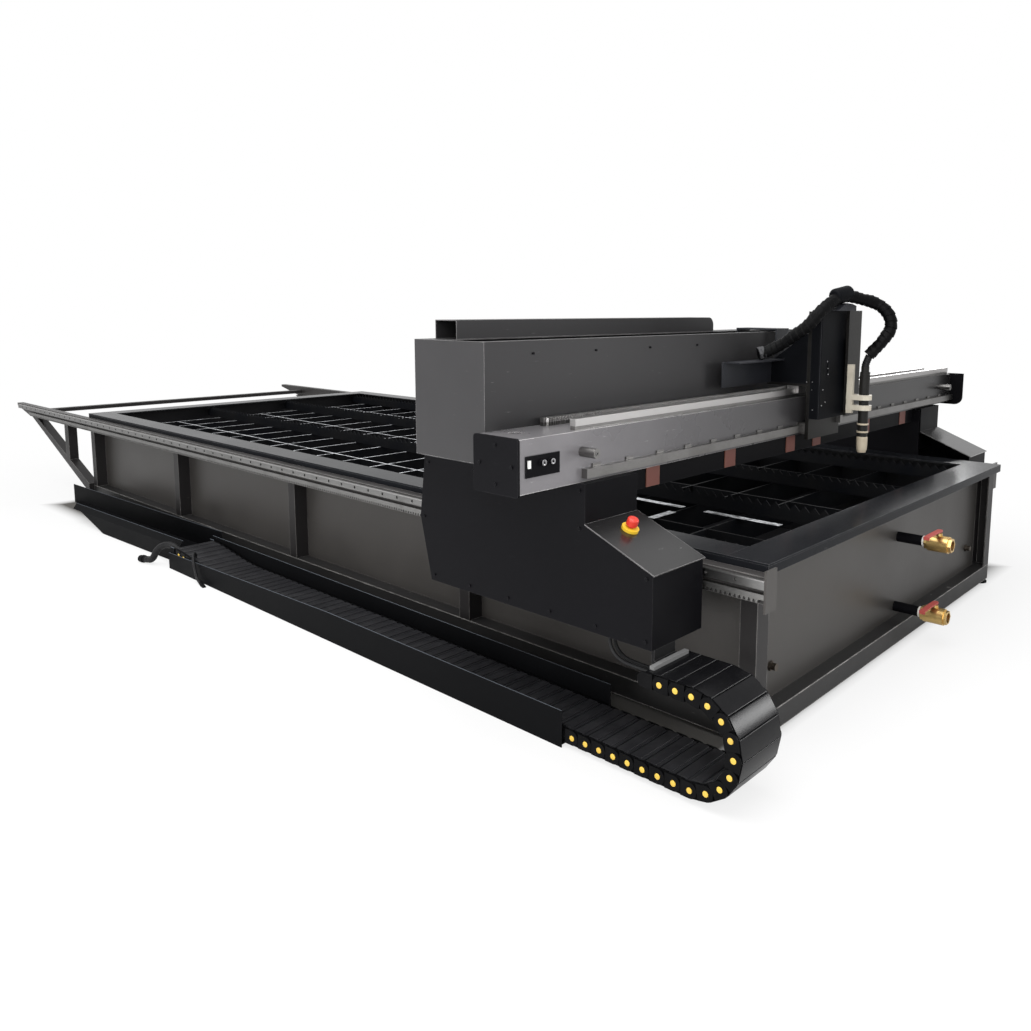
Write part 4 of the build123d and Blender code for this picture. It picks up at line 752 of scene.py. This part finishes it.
# the same on every link: laps, rounds and the pin in metres, the nose as a share of the plate's half
# height, the bar and its step as shares of half a pitch along and of the lid's thickness down
linkShape = {
    "outerLap": 0.003, "innerLap": 0.004, "nose": 0.96, "pinTall": 0.004, "pinRound": 0.0015,
    "lidRound": 0.0035, "barStart": -0.86, "barEnd": 0.5, "barDeep": 1.5, "barRound": 0.002,
    "stepEnd": 0.9, "stepDeep": 1.8, "stepSunk": 0.5,
}


# one link along X, pins at one end: two stepped side plates, outer lid below, crossbar above
def makeLink(name, c, lidShare=0.95, pins=True):
    s = linkShape
    half, wide = c["pitch"] / 2000, c["width"] / 2000
    tall, thick, lid = c["plateHalf"] / 1000, c["plateThick"] / 1000, c["lidThick"] / 1000
    top = c["height"] / 2000
    pieces = []
    for side in (-1, 1):
        y = sorted((side * wide, side * (wide - thick)))
        outer = addBlock("outerPlate", (-s["outerLap"], y[0], -tall), (half + tall, y[1], tall))
        roundEdges(outer, lambda m, d: isAlong(d.y) and m.x > half, tall * s["nose"], 5)
        y = sorted((side * (wide - thick), side * (wide - 2 * thick)))
        inner = addBlock("innerPlate", (-half - tall, y[0], -tall), (s["innerLap"], y[1], tall))
        roundEdges(inner, lambda m, d: isAlong(d.y) and m.x < -half, tall * s["nose"], 5)
        for piece in (outer, inner):
            dress(piece, finish["chainBlack"])
        pieces += [outer, inner]
        if pins:
            pin = addRod("pin", (half, side * wide, 0), c["pinR"] / 1000, s["pinTall"], "Y", 16)
            roundEdges(pin, lambda m, d: isAcross(d.y) and m.y * side > wide + nearly, s["pinRound"], 2)
            dress(pin, finish["pinYellow"])
            pieces.append(pin)
    reach = wide - 2 * thick
    lidX, lidY = half * lidShare, wide - thick
    cover = addBlock("lid", (-lidX, -lidY, -top), (lidX, lidY, -top + lid))
    roundEdges(cover, lambda m, d: isAlong(d.y) and m.z < -top + nearly, s["lidRound"], 3)
    dress(cover, finish["chainGloss"])
    bar = addBlock("crossbar", (half * s["barStart"], -reach, top - lid * s["barDeep"]),
                   (half * s["barEnd"], reach, top))
    step = addBlock("step", (half * s["barEnd"], -reach, top - lid * s["stepDeep"]),
                    (half * s["stepEnd"], reach, top - lid * s["stepSunk"]))
    for piece in (bar, step):
        roundEdges(piece, lambda m, d: isAlong(d.y), s["barRound"], 2)
        dress(piece, finish["chainRib"])
    link = joinPieces(name, pieces + [cover, bar, step])
    smoothShade(link, 35)
    return link


# puts a link at a place, with its X along the run and its Z to the inside of the bend
def linkMatrix(place, along, inward):
    across = Vector(inward).cross(Vector(along))
    turn = Matrix((along, across, inward)).transposed().to_4x4()
    return Matrix.Translation(place) @ turn


chainLink = makeLink("chainLink", cableChain)
bendLink = makeLink("bendLink", cableChain, lidShare=cableChain["bendLid"])
endLink = makeLink("endLink", cableChain, pins=False)
pitch, bendR = cableChain["pitch"], cableChain["bendR"]
loopX = cableChain["fixedX"] + cableChain["lowerLinks"] * pitch
upperZ = cableChain["lowZ"] + 2 * bendR
middleY = cableChain["middleY"]
slim = Matrix.Diagonal(cableChain["slim"])    # for links that lie inside others


# pins of the lower run: the first links come down from the anchor into the trough
def lowerPin(c, i):
    share = min(1.0, i / c["riseLinks"])
    rise = c["rise"] * (1 - share * share * (3 - 2 * share))
    return at(c["fixedX"] + i * pitch, middleY, c["lowZ"] + rise)


lowerLinks = []
for i in range(cableChain["lowerLinks"]):
    first, second = lowerPin(cableChain, i), lowerPin(cableChain, i + 1)
    run = (second - first).normalized()
    matrix = linkMatrix((first + second) / 2, run, (-run.z, 0, run.x))
    lowerLinks.append(copyPiece(chainLink, "link", matrix))
chainLower = joinPieces("chainLowerRun", lowerLinks)
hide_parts("chain_lower_run")
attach(chainLower, "table")
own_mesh(chainLower)

loopLinks = []
step = math.pi / cableChain["loopLinks"]
for i in range(cableChain["loopLinks"]):
    angle = -math.pi / 2 + (i + 0.5) * step
    reach = bendR * math.cos(step / 2)
    place = at(loopX + reach * math.cos(angle), middleY,
               cableChain["lowZ"] + bendR + reach * math.sin(angle))
    along, inward = (-math.sin(angle), 0, math.cos(angle)), (-math.cos(angle), 0, -math.sin(angle))
    loopLinks.append(copyPiece(bendLink, "link", linkMatrix(place, along, inward)))
for i in range(cableChain["bridgeLinks"]):    # inside the run's end, to bridge it when the bend runs on
    place = at(loopX - (i + 0.5) * pitch, middleY, cableChain["lowZ"])
    loopLinks.append(copyPiece(chainLink, "link", linkMatrix(place, (1, 0, 0), (0, 0, 1)) @ slim))
chainLoop = joinPieces("chainLoop", loopLinks)
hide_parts("chain_loop")
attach(chainLoop, "chain_bend")

upperLinks = []
for i in range(cableChain["upperLinks"]):
    place = at(loopX - (i + 0.5) * pitch, middleY, upperZ)
    source = endLink if i == cableChain["upperLinks"] - 1 else chainLink
    upperLinks.append(copyPiece(source, "link", linkMatrix(place, (-1, 0, 0), (0, 0, -1))))
chainUpper = joinPieces("chainUpperRun", upperLinks)
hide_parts("chain_upper_run")
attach(chainUpper, "gantry")


# the links that the bend pays out, folded flat inside the last upper link
def foldLinks(c, source):
    pieces = []
    for i in range(c["foldedLinks"]):
        matrix = linkMatrix(Vector(((i + 0.5) * pitch / 1000, 0, 0)), (-1, 0, 0), (0, 0, -1))
        pieces.append(copyPiece(source, "link", matrix @ slim))
    stack = joinPieces("chainFolded", pieces)
    length = c["foldedLinks"] * pitch / 1000
    low = at(loopX - c["foldZone"] - c["foldGap"], middleY, upperZ)
    for vertex in stack.data.vertices:
        share = min(1.0, max(0.0, vertex.co.x / length))
        eased = 0.5 - math.sin(math.asin(1 - 2 * share) / 3)
        vertex.co = low + Vector((eased * c["foldZone"] / 1000, vertex.co.y, vertex.co.z))
    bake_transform(stack)
    return stack


chainFolded = foldLinks(cableChain, chainLink)
for source in (chainLink, bendLink, endLink):
    dropPiece(source)
print("chain: lower run, bend, upper run and folded links")

# chain inside the cable case: lower run on the beam, bend, upper run to the carriage
caseChain = {
    "pitch": 50, "height": 50, "width": 200, "plateHalf": 22, "plateThick": 6, "lidThick": 5, "pinR": 10,
    "middleX": 2180, "lowZ": 1065, "radius": 155, "fixedY": 320, "loopY": -780, "endY": 60,
    "loopLinks": 10,
}
caseLink = makeLink("caseLink", caseChain)


def caseRun(name, c, source, start, end, z, inward):
    count = round(abs(end - start) / c["pitch"])
    step = (end - start) / count
    along = (0, math.copysign(1, step), 0)
    fit = Matrix.Diagonal((abs(step) / c["pitch"], 1, 1, 1))
    pieces = []
    for i in range(count):
        place = at(c["middleX"], start + (i + 0.5) * step, z)
        pieces.append(copyPiece(source, "link", linkMatrix(place, along, inward) @ fit))
    return joinPieces(name, pieces)


caseX, lowZ, caseR = caseChain["middleX"], caseChain["lowZ"], caseChain["radius"]
fixedY, loopY, endY = caseChain["fixedY"], caseChain["loopY"], caseChain["endY"]
highZ = lowZ + 2 * caseR
caseLower = caseRun("caseLowerRun", caseChain, caseLink, fixedY, loopY, lowZ, (0, 0, 1))
caseUpper = caseRun("caseUpperRun", caseChain, caseLink, loopY, endY, highZ, (0, 0, -1))
bendLinks = []
step = math.pi / caseChain["loopLinks"]
for i in range(caseChain["loopLinks"]):
    angle = -math.pi / 2 - (i + 0.5) * step
    reach = caseR * math.cos(step / 2)
    place = at(caseX, loopY + reach * math.cos(angle), lowZ + caseR + reach * math.sin(angle))
    along, inward = (0, math.sin(angle), -math.cos(angle)), (0, -math.cos(angle), -math.sin(angle))
    bendLinks.append(copyPiece(caseLink, "link", linkMatrix(place, along, inward)))
caseBend = joinPieces("caseBend", bendLinks)
dropPiece(caseLink)
blends = (
    (caseLower, at(caseX, fixedY, lowZ), at(caseX, 2 * loopY - fixedY, lowZ)),
    (caseUpper, at(caseX, 2 * loopY - endY, highZ), at(caseX, endY, highZ)),
    (caseBend, Vector((0, 0, -1000)), Vector((0, 0, 1000))),    # far apart
)
for piece, start, end in blends:
    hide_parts("case_chain")
    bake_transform(piece)
print("case chain: lower run, bend and upper run")

# tape rings where the drain pipes meet their valves
tapeRing = {
    "x": 3143, "y": 100, "heights": (151, 494), "radius": 0.0256, "width": 0.013, "sides": 36,
    "round": 0.0012,
}
for count, z in enumerate(tapeRing["heights"]):
    middle = at(tapeRing["x"], tapeRing["y"], z)
    ring = addRod(f"tapeRing{count + 1}", middle, tapeRing["radius"], tapeRing["width"], "X",
                  tapeRing["sides"])
    roundEdges(ring, lambda m, d: isAcross(d.x), tapeRing["round"], 2)
    dress(ring, finish["tapeWhite"])
    smoothShade(ring, 40)
    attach(ring, "table")
print("tape rings:", len(tapeRing["heights"]))

# shares of the head's radius, and of its height for the depth of the socket
screwHead = {"sides": 18, "round": 0.2, "wall": 0.38, "sunk": 0.5}


# socket-head screws: a rounded head with a sunk socket painted black inside as painted shade
def addScrews(name, places, axis, out, radius, height, finishName):
    heads = []
    for place in places:
        middle = place + out * height / 2
        head = addRod("head", middle, radius, height, axis, screwHead["sides"])
        dress(head, finish[finishName], finish["chainBlack"])
        roundEdges(head, lambda m, d: isAcross(d.dot(out)) and (m - middle).dot(out) > 0,
                   radius * screwHead["round"], 2)
        pickFaces(head, lambda m, n: n.dot(out) > 0.99)
        bpy.ops.mesh.inset(thickness=radius * screwHead["wall"], depth=-height * screwHead["sunk"])
        # the socket's faces take the black finish: painted shade in the recess
        head.active_material_index = 1
        bpy.ops.object.material_slot_assign()
        bpy.ops.object.mode_set(mode="OBJECT")
        heads.append(head)
    screws = joinPieces(name, heads)
    smoothShade(screws, 35)
    return screws


carriageScrews = {
    "sideY": -115, "side": [(2624, 1221), (2653, 1223), (2651, 1185), (2659, 1090)],
    "faceX": 2690, "face": [(-82, 1186), (-54, 1125), (-91, 1111), (-46, 1319), (-39, 1286),
                            (-36, 1258)],
    "radius": 0.0028, "height": 0.003,
}
towardsNear, towardsDrain = Vector((0, -1, 0)), Vector((1, 0, 0))
sidePlaces = [at(x, carriageScrews["sideY"], z) for x, z in carriageScrews["side"]]
facePlaces = [at(carriageScrews["faceX"], y, z) for y, z in carriageScrews["face"]]
screwSets = (
    ("carriageSideScrews", sidePlaces, "Y", towardsNear),
    ("carriageFaceScrews", facePlaces, "X", towardsDrain),
)
for name, places, axis, out in screwSets:
    screws = addScrews(name, places, axis, out, carriageScrews["radius"], carriageScrews["height"],
                       "headSteel")
    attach(screws, "carriage")

bumperScrew = {"x": 2652, "rows": (-1694, 1805), "z": 1072, "radius": 0.0075, "height": 0.003}
places = [at(bumperScrew["x"], y, bumperScrew["z"]) for y in bumperScrew["rows"]]
bumperScrews = addScrews("bumperScrews", places, "X", towardsDrain, bumperScrew["radius"],
                         bumperScrew["height"], "darkSteel")
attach(bumperScrews, "gantry")

# bright rims on the two sockets of the control plate
plateSocket = {"x": 2598, "rows": (-1900.02, -1857.64), "z": 1061.0, "radius": 0.0108, "height": 0.003}
places = [at(plateSocket["x"], y, plateSocket["z"]) for y in plateSocket["rows"]]
socketRims = addScrews("socketRims", places, "X", towardsDrain, plateSocket["radius"],
                       plateSocket["height"], "rimSteel")
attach(socketRims, "gantry")

# gland where the hose leaves its arm: a nut and a collar round the hose
hoseGland = {
    "length": 0.03, "nut": 0.016, "nutR": 0.0325, "nutSides": 8, "nutRound": 0.0015,
    "collarR": 0.0305, "collarSides": 32, "collarRound": 0.003,
}
tall, end = hoseGland["nut"], hoseGland["length"]
nut = addRod("nut", (0, 0, tall / 2), hoseGland["nutR"], tall, "Z", hoseGland["nutSides"])
roundEdges(nut, lambda m, d: isAcross(d.z), hoseGland["nutRound"], 2)
collar = addRod("collar", (0, 0, (tall + end) / 2), hoseGland["collarR"], end - tall, "Z",
                hoseGland["collarSides"])
roundEdges(collar, lambda m, d: isAcross(d.z) and m.z > end - nearly, hoseGland["collarRound"], 3)
gland = joinPieces("hoseGland", [nut, collar])
gland.data.transform(alongRun(hosePoints[0], (hosePoints[1] - hosePoints[0]).normalized()))
dress(gland, finish["glandGrey"])
smoothShade(gland, 30)
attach(gland, "carriage")

# sleeve that holds the hose on its saddle: a barrel with round ends, set a little high on the hose
hoseHolder = {"y": -0.012, "radius": 0.037, "length": 0.11, "sides": 32, "round": 0.014, "rise": 0.009}
nearest = min(range(1, len(hosePoints)), key=lambda i: abs(hosePoints[i].y - hoseHolder["y"]))
run = (hosePoints[nearest] - hosePoints[nearest - 1]).normalized()
sleeve = addRod("hoseHolder", (0, 0, 0), hoseHolder["radius"], hoseHolder["length"], "Z",
                hoseHolder["sides"])
roundEdges(sleeve, lambda m, d: isAcross(d.z), hoseHolder["round"], 5)
sleeve.data.transform(alongRun(hosePoints[nearest] + Vector((0, 0, hoseHolder["rise"])), run))
dress(sleeve, finish["hoodCoat"])
smoothShade(sleeve, 40)
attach(sleeve, "carriage")
print("fittings: carriage screws, bumper screws, socket rims, hose gland and hose holder")

# stage, light and camera
studio = {
    "floorSize": 90, "floorZ": -0.0005, "floorColor": (0.86, 0.86, 0.86),
    # the floor's colour under the table is a painted shadow
    "paintedShadowColor": (0.1, 0.096, 0.09), "middle": (tableShift / 1000, 0), "half": (2.98, 1.6),
    "fadeReach": 4.0, "fadeStops": ((0.0, 0.0), (0.035, 0.76), (0.9, 1.0)), "worldLight": 0.78,
}


# white to the camera away from the object; under it the floor's real shading over a darker colour, a
# painted shadow
def floorFinish(s):
    material, shader = startFinish("paleFloor", s["floorColor"], roughness=0.9, specular=0.1)
    split = addNode(material, "ShaderNodeSeparateXYZ")
    wire(material, objectPlace(material), split.inputs["Vector"])
    gaps = []
    for key, centre, reach in zip("XY", s["middle"], s["half"]):
        offset = combine(material, "SUBTRACT", split.outputs[key], centre, clamp=False)
        away = combine(material, "ABSOLUTE", offset, 0.0, clamp=False)
        gaps.append(combine(material, "SUBTRACT", away, reach, clamp=False))
    spread = addNode(material, "ShaderNodeMapRange")
    spread.inputs["From Max"].default_value = s["fadeReach"]
    wire(material, combine(material, "MAXIMUM", *gaps, clamp=False), spread.inputs["Value"])
    paintedLightFade = ramp(material, spread.outputs["Result"], *s["fadeStops"])
    # painted shadow: the floor's colour darkens within the table's footprint
    tone = blendColors(material, paintedLightFade, s["paintedShadowColor"], s["floorColor"])
    wire(material, tone, shader.inputs["Base Color"])
    rays = addNode(material, "ShaderNodeLightPath")
    glow = addNode(material, "ShaderNodeEmission")
    mix = addNode(material, "ShaderNodeMixShader")
    direct = combine(material, "MULTIPLY", rays.outputs["Is Camera Ray"], paintedLightFade)
    for source, socket in zip((direct, shader.outputs[0], glow.outputs[0]), mix.inputs):
        wire(material, source, socket)
    output = material.node_tree.nodes["Material Output"]
    wire(material, mix.outputs[0], output.inputs["Surface"])
    return material


deselectAll()
bpy.ops.mesh.primitive_plane_add(size=studio["floorSize"], location=(0, 0, studio["floorZ"]))
floor = bpy.context.object
floor.name = "floor"
dress(floor, floorFinish(studio))

# white where it is seen, directly or in metal, and a plain soft light elsewhere
world = bpy.data.worlds.new("softStudio")
bpy.context.scene.world = world
world.use_nodes = True
background = world.node_tree.nodes["Background"]
background.inputs["Color"].default_value = (1, 1, 1, 1)
rays = addNode(world, "ShaderNodeLightPath").outputs
seen = combine(world, "MAXIMUM", rays["Is Camera Ray"], rays["Is Glossy Ray"])
seen = combine(world, "MAXIMUM", seen, rays["Is Transmission Ray"])
wire(world, levels(world, seen, studio["worldLight"], 1.0), background.inputs["Strength"])


def addLamp(name, place, target, size, power, spread=180):
    deselectAll()
    bpy.ops.object.light_add(type="AREA", location=place)
    lamp = bpy.context.object
    lamp.name = name
    lamp.data.shape = "RECTANGLE"
    lamp.data.size, lamp.data.size_y = size
    lamp.data.energy = power
    lamp.data.spread = math.radians(spread)
    lamp.rotation_euler = (Vector(target) - Vector(place)).to_track_quat("-Z", "Y").to_euler()


lamps = {
    "topPanel": {"place": (1.8, -3.0, 6.0), "target": (1.0, -0.6, 0.4), "size": (8, 5), "power": 500},
    "frontPanel": {"place": (7.5, -5.5, 3.5), "target": (2.0, 0, 0.7), "size": (4, 3), "power": 170},
    "sidePanel": {"place": (2.1, -6.5, 0.9), "target": (1.2, -1.3, 0.3), "size": (5, 1.4), "power": 150},
    "bendPanel": {"place": (6.8, 2.3, 1.6), "target": (3.98, -1.64, 0.28), "size": (1.2, 1.2),
                  "power": 5, "spread": 40},
    "rearPanel": {"place": (1.1, 7.2, 2.9), "target": (3.8, 0, 0.7), "size": (1.5, 1.5), "power": 60},
}
for name, values in lamps.items():
    addLamp(name, **values)

photoView = {
    "place": (5.2751, -3.9470, 1.5712), "turn": 41.73, "tilt": 7.54, "roll": 0.26, "lens": 30.384,
    "shift": (-0.0574, -0.0904), "sensor": 36, "farthest": 200,
}
deselectAll()
bpy.ops.object.camera_add(location=photoView["place"])
camera = bpy.context.object
turn, tilt, roll = (math.radians(photoView[key]) for key in ("turn", "tilt", "roll"))
forward = Vector((-math.sin(turn) * math.cos(tilt), math.cos(turn) * math.cos(tilt), -math.sin(tilt)))
level = forward.cross(Vector((0, 0, 1))).normalized()
plumb = level.cross(forward)
right = level * math.cos(roll) + plumb * math.sin(roll)
upward = plumb * math.cos(roll) - level * math.sin(roll)
camera.rotation_euler = Matrix((right, upward, -forward)).transposed().to_euler()
camera.data.sensor_width = photoView["sensor"]
camera.data.lens = photoView["lens"]
camera.data.shift_x, camera.data.shift_y = photoView["shift"]
camera.data.clip_end = photoView["farthest"]
bpy.context.scene.camera = camera
bpy.context.scene.view_settings.view_transform = "Standard"
print("studio: floor, light and camera")
